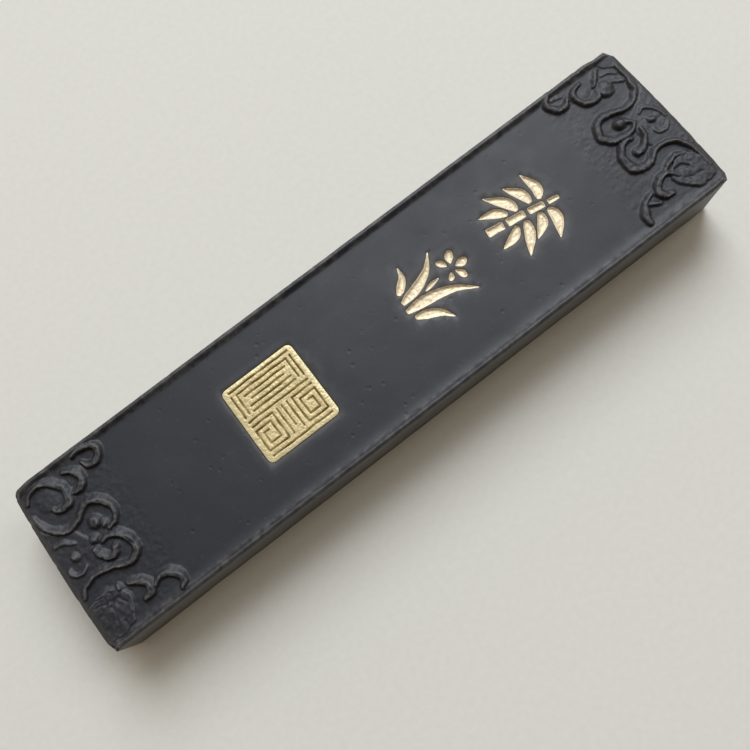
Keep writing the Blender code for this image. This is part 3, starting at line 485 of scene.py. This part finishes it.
# ----------------------------------------------------------- the cake mesh
def build_cake():
    keys, pts = {}, []

    def vid(x, y):
        k = (int(round(x * 1000)), int(round(y * 1000)))
        if k not in keys:
            keys[k] = len(pts)
            pts.append((x, y))
        return keys[k]

    inner = list(np.linspace(-RIM_IN, RIM_IN, 190))
    rim = [17.18, 17.34, 17.5, 17.65, 17.79, 17.91, 18.01, 18.09, 18.17, 18.25, 18.33, 18.41, 18.5, 18.62, 18.76,
           18.88, 18.97, 19.05, 19.11, 19.155, 19.185, 19.2]
    rim = [r * HW / 19.2 for r in rim]
    ys = [-r for r in reversed(rim)] + inner + rim
    nr = len(rim)
    ends = [HL - e for e in (1.30, 1.15, 1.0, 0.86, 0.72, 0.58, 0.46, 0.34, 0.24, 0.15, 0.09, 0.04, 0.0)]
    xs_end = list(np.linspace(END_X, HL - 1.30, 119))[:-1] + ends
    xs_mid = list(np.linspace(-END_X, END_X, 221))
    faces = []

    def grid(xs, yy):
        ids = np.array([[vid(x, y) for y in yy] for x in xs])
        for a, b in zip(ids, ids[1:]):
            for j in range(len(yy) - 1):
                faces.append((a[j], b[j], b[j + 1], a[j + 1]))

    grid(xs_end, ys)
    grid([-x for x in reversed(xs_end)], ys)
    grid(xs_mid, ys[:nr + 1])
    grid(xs_mid, ys[-nr - 1:])

    # the middle panel, with the sunken beds cut crisply into it
    P, E, sink = [], [], {}

    def loop(points, z):
        base = len(P)
        for k, p in enumerate(points):
            if z is not None:
                sink[len(P)] = z
            P.append((float(p[0]), float(p[1])))
        n = len(points)
        E.extend((base + k, base + (k + 1) % n) for k in range(n))

    border = ([(x, -RIM_IN) for x in xs_mid] + [(END_X, y) for y in inner[1:]]
              + [(x, RIM_IN) for x in reversed(xs_mid[:-1])] + [(-END_X, y) for y in reversed(inner[1:-1])])
    loop(border, None)
    beds = [(poly, 0.30) for _, poly in OUTLINES]
    seal = resample(rounded_rect(*SEAL_C, SEAL_W + 0.10, SEAL_H + 0.10, SEAL_R), 0.35)
    beds.append((seal, 0.5))
    for poly, _ in beds:
        loop(offset(poly, 0.10), 0.0)
        loop(offset(poly, 0.02), -0.05)
        loop(offset(poly, -0.02), -0.62)
    rng = np.random.RandomState(5)
    for x in np.arange(-END_X + 1.0, END_X - 0.5, 1.25):
        for y in np.arange(-RIM_IN + 0.9, RIM_IN - 0.5, 1.25):
            px, py = x + rng.uniform(-0.2, 0.2), y + rng.uniform(-0.2, 0.2)
            ok = True
            for poly, _ in beds:
                if (poly[:, 0].min() - 0.5 < px < poly[:, 0].max() + 0.5
                        and poly[:, 1].min() - 0.5 < py < poly[:, 1].max() + 0.5):
                    if np.hypot(poly[:, 0] - px, poly[:, 1] - py).min() < 0.35 or inside(
                            np.array([px]), np.array([py]), poly)[0]:
                        ok = False
                        break
            if ok:
                P.append((px, py))
    v2, _, f2, orig, _, _ = delaunay_2d_cdt([Vector(p) for p in P], E, [], 0, 1e-5, True)
    local, depth = [], {}
    for k, v in enumerate(v2):
        src = [o for o in orig[k]]
        if src:
            x, y = P[src[0]]
        else:
            x, y = v.x, v.y
        i = vid(x, y)
        local.append(i)
        zs = [sink[o] for o in src if o in sink]
        if zs:
            depth[i] = min(zs)
    for f in f2:
        ids = [local[k] for k in f]
        if len(set(ids)) == 3:
            faces.append(tuple(ids))

    pts_a = np.array(pts)
    x, y = pts_a[:, 0].copy(), pts_a[:, 1].copy()
    h = top_height(x, y)
    wear_and_painted_light = h.copy()
    for i, d in depth.items():
        h[i] += d
    rx, ry = plan(x, y)
    top = np.stack([rx, ry, PZ + h], 1)

    # the side wall and the underside, ring by ring from the face's border
    nx, ny = len(xs_end), len(ys)
    right = [vid(HL, yy) for yy in ys]
    far = [vid(xx, ys[-1]) for xx in ([-q for q in reversed(xs_end)] + xs_mid[1:-1] + xs_end)]
    left = [vid(-HL, yy) for yy in ys]
    near = [vid(xx, ys[0]) for xx in ([-q for q in reversed(xs_end)] + xs_mid[1:-1] + xs_end)]
    ring = near + right[1:] + far[-2::-1] + left[-2:0:-1]
    base = top[ring]
    tang = np.roll(base[:, :2], -1, 0) - np.roll(base[:, :2], 1, 0)
    for _ in range(6):
        tang = tang + 0.5 * (np.roll(tang, 1, 0) + np.roll(tang, -1, 0))
    tang /= np.linalg.norm(tang, axis=1)[:, None]
    out = np.stack([tang[:, 1], -tang[:, 0]], 1)
    verts = [tuple(p) for p in top]
    wear_and_painted_highlight = [0.0] * len(verts)
    prev = ring
    zb = base[:, 2]
    levels = [(None, 0.0), (10.5, 0.0), (7.0, 0.0), (4.0, 0.0), (2.2, 0.0), (1.2, 0.0), (0.75, 0.01), (0.42, 0.06), (0.16, 0.17), (0.04, 0.29),
              (0.0, 0.38)]
    for z, inset in levels:
        zz = np.minimum(zb - 0.30, 14.2) if z is None else np.full(len(ring), z)
        wob = 0.045 * noise3(base[:, 0], base[:, 1], zz, 7.0, 24) + 0.02 * noise3(base[:, 0], base[:, 1], zz, 2.0, 25)
        wob = np.where(zz < 0.1, 0, wob) - 0.045
        cur = []
        for (bx, by, _), (ox, oy), z1, w in zip(base, out, zz, wob):
            cur.append(len(verts))
            verts.append((bx + ox * (w - inset), by + oy * (w - inset), z1))
        n = len(ring)
        for k in range(n):
            faces.append((prev[k], cur[k], cur[(k + 1) % n], prev[(k + 1) % n]))
        prev = cur
    faces.append(tuple(prev))

    mesh = bpy.data.meshes.new("ink_cake_body")
    mesh.from_pydata([(a * MM, b * MM, c * MM) for a, b, c in verts], [], faces)
    mesh.validate()
    bm = bmesh.new()
    bm.from_mesh(mesh)
    bmesh.ops.recalc_face_normals(bm, faces=bm.faces)
    bm.normal_update()
    # wear gathers on ridges and edges, and a painted highlight is laid on them too: how far a point stands out from
    # its neighbours
    curv = np.zeros(len(bm.verts))
    for v in bm.verts:
        if v.link_edges:
            c = Vector((0, 0, 0))
            for e in v.link_edges:
                c += e.other_vert(v).co
            c /= len(v.link_edges)
            length = sum(e.calc_length() for e in v.link_edges) / len(v.link_edges)
            curv[v.index] = (v.co - c).dot(v.normal) / max(length, 1e-6)
    link = [[e.other_vert(v).index for e in v.link_edges] for v in bm.verts]
    for _ in range(2):
        curv = np.array([0.5 * curv[i] + 0.5 * (sum(curv[j] for j in l) / max(len(l), 1)) for i, l in enumerate(link)])
    bm.to_mesh(mesh)
    bm.free()
    att = mesh.attributes.new("wear_and_painted_highlight", "FLOAT", "POINT")
    att.data.foreach_set("value", np.clip(curv * 3.0, -1, 1).astype(np.float32))
    co = np.array([v.co for v in mesh.vertices]) / MM
    nz = np.array([n.vector for n in mesh.vertex_normals])[:, 2]
    # side walls: mask for painted reflected light on the walls, fading toward the floor as painted shade
    side = smooth((0.55 - nz) / 0.4) * smooth((PZ + 0.2 - co[:, 2]) / 0.6) * (0.10 + 0.90 * smooth((co[:, 2] + 0.4) / 4.2))
    att = mesh.attributes.new("side", "FLOAT", "POINT")
    att.data.foreach_set("value", side.astype(np.float32))
    # rim tops: mask for rim wear and a painted highlight
    rim = smooth((np.abs(co[:, 1]) - 17.2) / 0.5) * (1 - side) * (co[:, 2] > PZ - 0.4)
    att = mesh.attributes.new("rim", "FLOAT", "POINT")
    att.data.foreach_set("value", rim.astype(np.float32))
    for p in mesh.polygons:
        p.use_smooth = True
    mesh.set_sharp_from_angle(angle=math.radians(62))
    ob = bpy.data.objects.new("ink_cake_body", mesh)
    bpy.context.scene.collection.objects.link(ob)
    print("cake triangles", sum(len(p.vertices) - 2 for p in mesh.polygons))
    return ob


# -------------------------------------------------------------- gilt fills
def build_fill(name, poly):
    """Gold lining of one sunken stroke: a shallow trough with soft lips."""
    rim = offset(poly, -0.035)
    step = 0.17
    gx = np.arange(rim[:, 0].min(), rim[:, 0].max(), step)
    gy = np.arange(rim[:, 1].min(), rim[:, 1].max(), step)
    X, Y = [v.ravel() for v in np.meshgrid(gx, gy)]
    d = edge_distance(X, Y, rim)
    m = inside(X, Y, rim) & (d > 0.11)
    X, Y = X[m], Y[m]
    P = [tuple(p) for p in rim] + list(zip(X, Y))
    n = len(rim)
    E = [(k, (k + 1) % n) for k in range(n)]
    v2, _, f2, orig, _, _ = delaunay_2d_cdt([Vector(p) for p in P], E, [], 1, 1e-5, True)
    xy = np.array([P[o[0]] if o else (v.x, v.y) for v, o in zip(v2, orig)])
    on_rim = np.array([bool(o) and o[0] < n for o in orig])
    dist = np.where(on_rim, 0.0, edge_distance(xy[:, 0], xy[:, 1], rim))
    z = -0.02 - 0.42 * (1 - np.exp(-(dist / 0.34) ** 1.2)) + 0.07 * smooth((dist - 0.45) / 0.5)
    z += (0.034 * noise3(xy[:, 0], xy[:, 1], 0 * dist, 0.55, 32)
          + 0.026 * noise3(xy[:, 0], xy[:, 1], 0 * dist, 0.28, 33)) * smooth(dist / 0.2)
    height = PZ + top_height(xy[:, 0].copy(), xy[:, 1].copy()) + z
    bm = bmesh.new()
    top = [bm.verts.new((x * MM, y * MM, h * MM)) for (x, y), h in zip(xy, height)]
    bot = [bm.verts.new((x * MM, y * MM, (PZ - 0.55) * MM)) for x, y in xy]
    for f in f2:
        if len(set(f)) == 3:
            bm.faces.new([top[k] for k in f])
            bm.faces.new([bot[k] for k in reversed(f)])
    bm.edges.ensure_lookup_table()
    # painted shade on the trough walls that face away from the light, painted highlight on those that face it
    q = 0.12
    gx_ = edge_distance(xy[:, 0] + q, xy[:, 1], rim) - edge_distance(xy[:, 0] - q, xy[:, 1], rim)
    gy_ = edge_distance(xy[:, 0], xy[:, 1] + q, rim) - edge_distance(xy[:, 0], xy[:, 1] - q, rim)
    wall = np.clip(1 - dist / 0.42, 0, 1)
    fall = -(0.42 * gx_ + 0.91 * gy_) / (2 * q)
    wear_and_painted_light = {}
    for k in range(len(xy)):
        wear_and_painted_light[top[k]] = (float(wall[k] * max(fall[k], 0.0)), float(wall[k] * max(-fall[k], 0.0)))
        wear_and_painted_light[bot[k]] = (1.0, 0.0)
    index = {v: k for k, v in enumerate(top)}
    for e in [e for e in bm.edges if len(e.link_faces) == 1 and e.verts[0] in index and e.verts[1] in index]:
        a, b = e.verts
        bm.faces.new((b, a, bot[index[a]], bot[index[b]]))
    for v in [v for v in bm.verts if not v.link_faces]:
        bm.verts.remove(v)
    bmesh.ops.recalc_face_normals(bm, faces=bm.faces)
    return gilt_object(name, bm, [wear_and_painted_light[v][0] for v in bm.verts], [wear_and_painted_light[v][1] for v in bm.verts])


def gilt_object(name, bm, shades, painted_highlights):
    mesh = bpy.data.meshes.new(name + "_gold")
    bm.verts.index_update()
    bm.to_mesh(mesh)
    bm.free()
    for key, values in (("shade", shades), ("lip", painted_highlights)):
        att = mesh.attributes.new(key, "FLOAT", "POINT")
        att.data.foreach_set("value", np.array(values, np.float32))
    for p in mesh.polygons:
        p.use_smooth = True
    mesh.set_sharp_from_angle(angle=math.radians(55))
    ob = bpy.data.objects.new(name + "_gold", mesh)
    bpy.context.scene.collection.objects.link(ob)
    return ob


def fret_runs():
    runs = [
        [(-7.3, 8.0), (7.3, 8.0)], [(-6.2, 2.1), (-6.2, 6.8), (6.2, 6.8), (6.2, 2.1)],
        [(-7.3, 6.9), (-7.3, 1.8)], [(7.3, 6.9), (7.3, 1.8)], [(-5.0, 5.6), (5.0, 5.6)],
        [(-4.0, 4.4), (4.0, 4.4)], [(-5.0, 3.2), (5.0, 3.2)], [(-5.2, 2.0), (5.2, 2.0)],
        [(-7.3, 0.6), (7.3, 0.6)], [(-7.3, -7.9), (7.3, -7.9)], [(0.0, -0.6), (0.0, -5.4)]]
    for s in (-1, 1):
        runs.append([(s * 7.3, -0.6), (s * 2.5, -0.6), (s * 2.5, -6.7), (s * 7.3, -6.7), (s * 7.3, -1.8),
                     (s * 3.7, -1.8), (s * 3.7, -5.5), (s * 6.1, -5.5), (s * 6.1, -3.0), (s * 4.9, -3.0)])
        runs.append([(s * 1.25, -0.6), (s * 1.25, -6.7)])
    return runs


def build_seal():
    n = 192
    us = np.linspace(-1, 1, n)
    # tighter rows at the rounded rim
    us = np.sign(us) * (1 - (1 - np.abs(us)) ** 1.06)
    U, V = np.meshgrid(us, us, indexing="ij")
    hw, hh, r = SEAL_W / 2 - 0.03, SEAL_H / 2 - 0.03, SEAL_R
    X, Y = U * hw, V * hh
    ax, ay = np.abs(X), np.abs(Y)
    m = (ax > hw - r) & (ay > hh - r)
    u, v = (ax[m] - hw + r) / r, (ay[m] - hh + r) / r
    ax[m] = hw - r + r * u * np.sqrt(1 - v * v / 2)
    ay[m] = hh - r + r * v * np.sqrt(1 - u * u / 2)
    X, Y = np.sign(X) * ax, np.sign(Y) * ay
    # hand-cut grooves wander a little
    gx = X + 0.07 * noise3(X, Y, 0 * X, 2.6, 40) + 0.03 * noise3(X, Y, 0 * X, 0.8, 41)
    gy = Y + 0.07 * noise3(X, Y, 0 * X, 2.6, 42) + 0.03 * noise3(X, Y, 0 * X, 0.8, 43)
    cut = np.full(X.shape, 9.0)
    for run in fret_runs():
        for (x0, y0), (x1, y1) in zip(run, run[1:]):
            dx, dy = x1 - x0, y1 - y0
            t = np.clip(((gx - x0) * dx + (gy - y0) * dy) / (dx * dx + dy * dy), 0, 1)
            cut = np.minimum(cut, np.hypot(gx - x0 - t * dx, gy - y0 - t * dy))
    width = 0.150 * (1 + 0.34 * noise3(X, Y, 0 * X, 1.3, 44))
    # groove mask: it cuts the grooves and, as the shade attribute, paints shade into them
    shade = np.exp(-(cut / width) ** 2.6) * np.clip(0.95 + 0.45 * noise3(X, Y, 0 * X, 1.6, 45), 0.35, 1.2)
    groove = 0.34 * shade
    lip = np.minimum(hw - ax, hh - ay)
    corner = (ax > hw - r) & (ay > hh - r)
    lip = np.where(corner, r - np.hypot(ax - hw + r, ay - hh + r), lip)
    crown = 0.13 * (1 - np.exp(-np.clip(lip, 0, None) / 0.30)) - 0.10
    land = 0.06 * smooth((cut - 0.12) / 0.26)
    grain = 0.030 * noise3(X, Y, 0 * X, 0.34, 46) + 0.024 * noise3(X, Y, 0 * X, 0.9, 47)
    wx, wy = X + SEAL_C[0], Y + SEAL_C[1]
    Z = PZ + top_height(wx.ravel().copy(), wy.ravel().copy()).reshape(X.shape) + crown + land - groove + grain
    Z = np.where(lip < 1e-6, np.minimum(Z, PZ - 0.10), Z)
    bm = bmesh.new()
    top = [[bm.verts.new((wx[i, j] * MM, wy[i, j] * MM, Z[i, j] * MM)) for j in range(n)] for i in range(n)]
    for i in range(n - 1):
        for j in range(n - 1):
            bm.faces.new((top[i][j], top[i + 1][j], top[i + 1][j + 1], top[i][j + 1]))
    ring = ([top[i][0] for i in range(n)] + [top[n - 1][j] for j in range(1, n)]
            + [top[i][n - 1] for i in range(n - 2, -1, -1)] + [top[0][j] for j in range(n - 2, 0, -1)])
    low = [bm.verts.new((v.co.x, v.co.y, (PZ - 0.55) * MM)) for v in ring]
    for k in range(len(ring)):
        q = (k + 1) % len(ring)
        bm.faces.new((ring[k], low[k], low[q], ring[q]))
    bm.faces.new(low)
    bmesh.ops.recalc_face_normals(bm, faces=bm.faces)
    # painted shade in the grooves, painted highlight growing toward the seal's border
    shades = list(np.clip(shade, 0, 1).ravel()) + [1.0] * len(low)
    return gilt_object("gilt_seal_fret", bm, shades, list(np.clip(1.0 - lip.ravel() / 1.3, 0, 1)) + [1.0] * len(low))


# --------------------------------------------------------------- materials
def nodes_of(name):
    mat = bpy.data.materials.new(name)
    mat.use_nodes = True
    nt = mat.node_tree
    return mat, nt, nt.nodes["Principled BSDF"]


def node(nt, kind, **values):
    nd = nt.nodes.new(kind)
    for k, v in values.items():
        if k in nd.inputs.keys():
            nd.inputs[k].default_value = v
        else:
            setattr(nd, k, v)
    return nd


def ramp(nt, src, stops):
    r = nt.nodes.new("ShaderNodeValToRGB")
    els = r.color_ramp.elements
    while len(els) < len(stops):
        els.new(0.5)
    for el, (pos, col) in zip(els, stops):
        el.position = pos
        el.color = (*col, 1.0) if len(col) == 3 else col
    nt.links.new(src, r.inputs["Fac"])
    return r


def mix(nt, fac, a, b, blend="MIX"):
    m = nt.nodes.new("ShaderNodeMix")
    m.data_type = "RGBA"
    m.blend_type = blend
    for sock, val in (("Factor", fac), ("A", a), ("B", b)):
        s = [i for i in m.inputs if i.name == sock and (sock == "Factor" and i.type == "VALUE" or i.type == "RGBA")][0]
        if isinstance(val, bpy.types.NodeSocket):
            nt.links.new(val, s)
        else:
            s.default_value = val if sock == "Factor" else (*val, 1.0)
    return [o for o in m.outputs if o.type == "RGBA"][0]


def maths(nt, op, a, b=0.0, clamp=False):
    m = nt.nodes.new("ShaderNodeMath")
    m.operation = op
    m.use_clamp = clamp
    for s, v in zip(m.inputs, (a, b)):
        if isinstance(v, bpy.types.NodeSocket):
            nt.links.new(v, s)
        else:
            s.default_value = v
    return m.outputs[0]


def ink_material():
    mat, nt, bsdf = nodes_of("ink_pressed")
    tc = nt.nodes.new("ShaderNodeTexCoord")
    obj = tc.outputs["Object"]
    wear_and_painted_highlight = nt.nodes.new("ShaderNodeAttribute")
    wear_and_painted_highlight.attribute_name = "wear_and_painted_highlight"

    def noise(scale, detail=3.0, rough=0.55, vec=obj):
        n = node(nt, "ShaderNodeTexNoise", Scale=scale, Detail=detail, Roughness=rough)
        nt.links.new(vec, n.inputs["Vector"])
        return n.outputs["Fac"]

    cloud = noise(55, 4.0)
    speck = noise(900, 2.0)
    fine = noise(2600, 2.0)
    base = ramp(nt, cloud, [(0.30, (0.0100, 0.0114, 0.0170)), (0.70, (0.0160, 0.0176, 0.0236))]).outputs[0]
    dust = ramp(nt, speck, [(0.60, (0, 0, 0)), (0.74, (1, 1, 1))]).outputs[0]
    base = mix(nt, maths(nt, "MULTIPLY", dust, 0.22), base, (0.060, 0.058, 0.058))
    # convex ridges and edges lightened: partly edge wear, partly a painted highlight on the crests
    wear_and_painted_light = maths(nt, "MULTIPLY", wear_and_painted_highlight.outputs["Fac"], 1.6, True)
    wear_and_painted_light = maths(nt, "MULTIPLY", wear_and_painted_light, maths(nt, "ADD", noise(420, 3.0), 0.25), True)
    base = mix(nt, wear_and_painted_light, base, (0.110, 0.106, 0.104))
    side = nt.nodes.new("ShaderNodeAttribute")
    side.attribute_name = "side"
    # side walls painted lighter as painted reflected light, and darker toward the floor as painted shade
    painted_wall_light_and_shade = maths(nt, "MULTIPLY", side.outputs["Fac"], maths(nt, "ADD", noise(90, 4.0), 0.25), True)
    base = mix(nt, painted_wall_light_and_shade, base, (0.090, 0.086, 0.080))
    rim = nt.nodes.new("ShaderNodeAttribute")
    rim.attribute_name = "rim"
    # rim tops lightened in patches: rim wear and a painted highlight
    rim_wear_and_painted_highlight = ramp(nt, noise(520, 4.0, 0.65), [(0.42, (0, 0, 0)), (0.66, (1, 1, 1))]).outputs[0]
    base = mix(nt, maths(nt, "MULTIPLY", rim.outputs["Fac"], maths(nt, "MULTIPLY", rim_wear_and_painted_highlight, 0.75)), base, (0.088, 0.088, 0.086))
    nt.links.new(base, bsdf.inputs["Base Color"])
    rough = ramp(nt, noise(160, 4.0), [(0.25, (0.49, 0.49, 0.49)), (0.75, (0.58, 0.58, 0.58))]).outputs[0]
    rough = maths(nt, "ADD", rough, maths(nt, "MULTIPLY", wear_and_painted_light, 0.10))
    nt.links.new(rough, bsdf.inputs["Roughness"])

    # fine press grain, sparse pits and a few long hair scratches
    pits = node(nt, "ShaderNodeTexVoronoi", Scale=420.0, feature="F1")
    nt.links.new(obj, pits.inputs["Vector"])
    pit = ramp(nt, pits.outputs["Distance"], [(0.05, (0, 0, 0)), (0.22, (1, 1, 1))]).outputs[0]
    gate = ramp(nt, noise(230, 2.0), [(0.52, (1, 1, 1)), (0.60, (0, 0, 0))]).outputs[0]
    pit = maths(nt, "MAXIMUM", pit, gate)
    mapn = nt.nodes.new("ShaderNodeMapping")
    mapn.inputs["Scale"].default_value = (60, 900, 60)
    mapn.inputs["Rotation"].default_value = (0, 0, math.radians(12))
    nt.links.new(obj, mapn.inputs["Vector"])
    scr = noise(1.0, 2.0, 0.5, mapn.outputs[0])
    scr = ramp(nt, scr, [(0.66, (0, 0, 0)), (0.70, (1, 1, 1))]).outputs[0]
    height = maths(nt, "ADD", maths(nt, "MULTIPLY", fine, 0.10), maths(nt, "MULTIPLY", speck, 0.22))
    height = maths(nt, "ADD", height, maths(nt, "MULTIPLY", pit, 1.6))
    height = maths(nt, "ADD", height, maths(nt, "MULTIPLY", cloud, 0.5))
    height = maths(nt, "SUBTRACT", height, maths(nt, "MULTIPLY", scr, 0.12))
    bump = node(nt, "ShaderNodeBump", Strength=0.55, Distance=0.00005)
    nt.links.new(height, bump.inputs["Height"])
    nt.links.new(bump.outputs[0], bsdf.inputs["Normal"])
    bsdf.inputs["IOR"].default_value = 1.545
    return mat


def gold_material(name, tone, dark, flake_and_painted_highlight_colour, painted_shade_colour, shine):
    mat, nt, bsdf = nodes_of(name)
    tc = nt.nodes.new("ShaderNodeTexCoord")
    obj = tc.outputs["Object"]

    def noise(scale, detail=3.0):
        n = node(nt, "ShaderNodeTexNoise", Scale=scale, Detail=detail, Roughness=0.6)
        nt.links.new(obj, n.inputs["Vector"])
        return n.outputs["Fac"]

    patch, grain, fine = noise(240, 3.0), noise(1500, 3.0), noise(4200, 2.0)
    light = tuple(min(1.0, c * 1.14) for c in tone)
    base = ramp(nt, patch, [(0.30, tone), (0.70, light)]).outputs[0]
    thin = ramp(nt, grain, [(0.32, (1, 1, 1)), (0.47, (0, 0, 0))]).outputs[0]
    base = mix(nt, maths(nt, "MULTIPLY", thin, 0.62), base, dark)
    flake = ramp(nt, fine, [(0.56, (0, 0, 0)), (0.70, (1, 1, 1))]).outputs[0]
    base = mix(nt, maths(nt, "MULTIPLY", flake, 0.45), base, flake_and_painted_highlight_colour)
    shade = nt.nodes.new("ShaderNodeAttribute")
    shade.attribute_name = "shade"
    lip = nt.nodes.new("ShaderNodeAttribute")
    lip.attribute_name = "lip"
    # painted highlight: paler on the stroke walls that face the light and toward the seal's border
    base = mix(nt, maths(nt, "MULTIPLY", lip.outputs["Fac"], maths(nt, "ADD", patch, 0.15), True), base, flake_and_painted_highlight_colour)
    # painted shade: deep colour on the stroke walls that face away from the light and in the seal's grooves
    base = mix(nt, maths(nt, "MULTIPLY", shade.outputs["Fac"], 0.92, True), base, painted_shade_colour)
    nt.links.new(base, bsdf.inputs["Base Color"])
    rough = ramp(nt, grain, [(0.3, (0.58, 0.58, 0.58)), (0.7, (0.42, 0.42, 0.42))]).outputs[0]
    nt.links.new(rough, bsdf.inputs["Roughness"])
    bsdf.inputs["Metallic"].default_value = shine
    height = maths(nt, "ADD", maths(nt, "MULTIPLY", grain, 0.7), maths(nt, "MULTIPLY", fine, 0.35))
    bump = node(nt, "ShaderNodeBump", Strength=0.75, Distance=0.00010)
    nt.links.new(height, bump.inputs["Height"])
    nt.links.new(bump.outputs[0], bsdf.inputs["Normal"])
    return mat


# ------------------------------------------------------------------- build
ink = ink_material()
cake = build_cake()
cake.data.materials.append(ink)
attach(cake, "root")
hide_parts("ink_cake")

gold_seal = gold_material("gold_powder_seal", (0.67, 0.55, 0.29), (0.34, 0.26, 0.11), (0.88, 0.80, 0.48),
                          (0.165, 0.118, 0.038), 0.35)
gold_mark = gold_material("gold_powder_marks", (0.80, 0.68, 0.465), (0.36, 0.26, 0.15), (0.94, 0.91, 0.76),
                          (0.165, 0.098, 0.060), 0.30)
seal = build_seal()
seal.data.materials.append(gold_seal)
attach(seal, "root")
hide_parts("gilt_seal_fret")
for mark_name, mark_poly in OUTLINES:
    ob = build_fill(mark_name, mark_poly)
    ob.data.materials.append(gold_mark)
    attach(ob, "root")
    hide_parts(mark_name)

# ------------------------------------------------------------------- stage
floor_mesh = bpy.data.meshes.new("paper_floor")
s = 3.0
floor_mesh.from_pydata([(-s, -s, 0), (s, -s, 0), (s, s, 0), (-s, s, 0)], [], [(0, 1, 2, 3)])
floor = bpy.data.objects.new("paper_floor", floor_mesh)
floor.location.z = -0.00002
bpy.context.scene.collection.objects.link(floor)
pm, pnt, pb = nodes_of("pale_paper")
ptc = pnt.nodes.new("ShaderNodeTexCoord")
pn = node(pnt, "ShaderNodeTexNoise", Scale=700.0, Detail=4.0)
pnt.links.new(ptc.outputs["Object"], pn.inputs["Vector"])
pr = ramp(pnt, pn.outputs["Fac"], [(0.3, (0.755, 0.745, 0.675)), (0.7, (0.785, 0.775, 0.705))])
pnt.links.new(pr.outputs[0], pb.inputs["Base Color"])
pb.inputs["Roughness"].default_value = 0.85
pb.inputs["Specular IOR Level"].default_value = 0.2
floor_mesh.materials.append(pm)

scene = bpy.context.scene
scene.view_settings.view_transform = "Standard"
scene.view_settings.look = "None"
scene.view_settings.exposure = 0.0

world = bpy.data.worlds.new("soft_room")
scene.world = world
world.use_nodes = True
wt = world.node_tree
wc = wt.nodes.new("ShaderNodeTexCoord")
ws = wt.nodes.new("ShaderNodeSeparateXYZ")
wt.links.new(wc.outputs["Generated"], ws.inputs[0])
wr = ramp(wt, ws.outputs[2], [(0.0, (0.53, 0.425, 0.320)), (1.0, (0.165, 0.134, 0.101))])
# the room is brighter on the window's side than behind the viewer
facing = maths(wt, "ADD", maths(wt, "MULTIPLY", ws.outputs[0], 0.40), maths(wt, "MULTIPLY", ws.outputs[1], 0.90))
wf = ramp(wt, maths(wt, "ADD", maths(wt, "MULTIPLY", facing, 0.5), 0.5),
          [(0.10, (0.40, 0.38, 0.36)), (0.90, (1.44, 1.48, 1.54))])
room = mix(wt, 1.0, wr.outputs[0], wf.outputs[0], "MULTIPLY")
wt.links.new(room, wt.nodes["Background"].inputs["Color"])
wt.nodes["Background"].inputs["Strength"].default_value = 1.0


def area(name, direction, distance, size_x, size_y, power, colour):
    data = bpy.data.lights.new(name, "AREA")
    data.shape = "RECTANGLE"
    data.size, data.size_y = size_x, size_y
    data.energy = power
    data.color = colour
    ob = bpy.data.objects.new(name, data)
    d = Vector(direction).normalized()
    ob.location = d * distance
    ob.rotation_mode = "QUATERNION"
    ob.rotation_quaternion = d.to_track_quat("Z", "Y")
    scene.collection.objects.link(ob)
    return ob


area("window", (0.43, 0.78, 1.0), 2.0, 1.35, 1.35, 35.0, (0.945, 1.020, 1.115))
area("ceiling", (0.95, 0.03, 1.0), 2.0, 0.50, 0.80, 4.2, (0.98, 1.0, 1.02))

cam_data = bpy.data.cameras.new("camera")
cam_data.sensor_width = 36.0
cam_data.lens = 37.94
cam_data.clip_start = 0.005
cam_data.clip_end = 20.0
cam = bpy.data.objects.new("camera", cam_data)
right = Vector((0.79356763, -0.60406501, -0.07318397))
up = Vector((0.60518488, 0.77103433, 0.1981346))
back = Vector((-0.06325883, -0.20152304, 0.97743889))
m = Matrix((right, up, back)).transposed().to_4x4()
m.translation = Vector((-0.0147, -0.03896, 0.17087))
cam.matrix_world = m
scene.collection.objects.link(cam)
scene.camera = cam
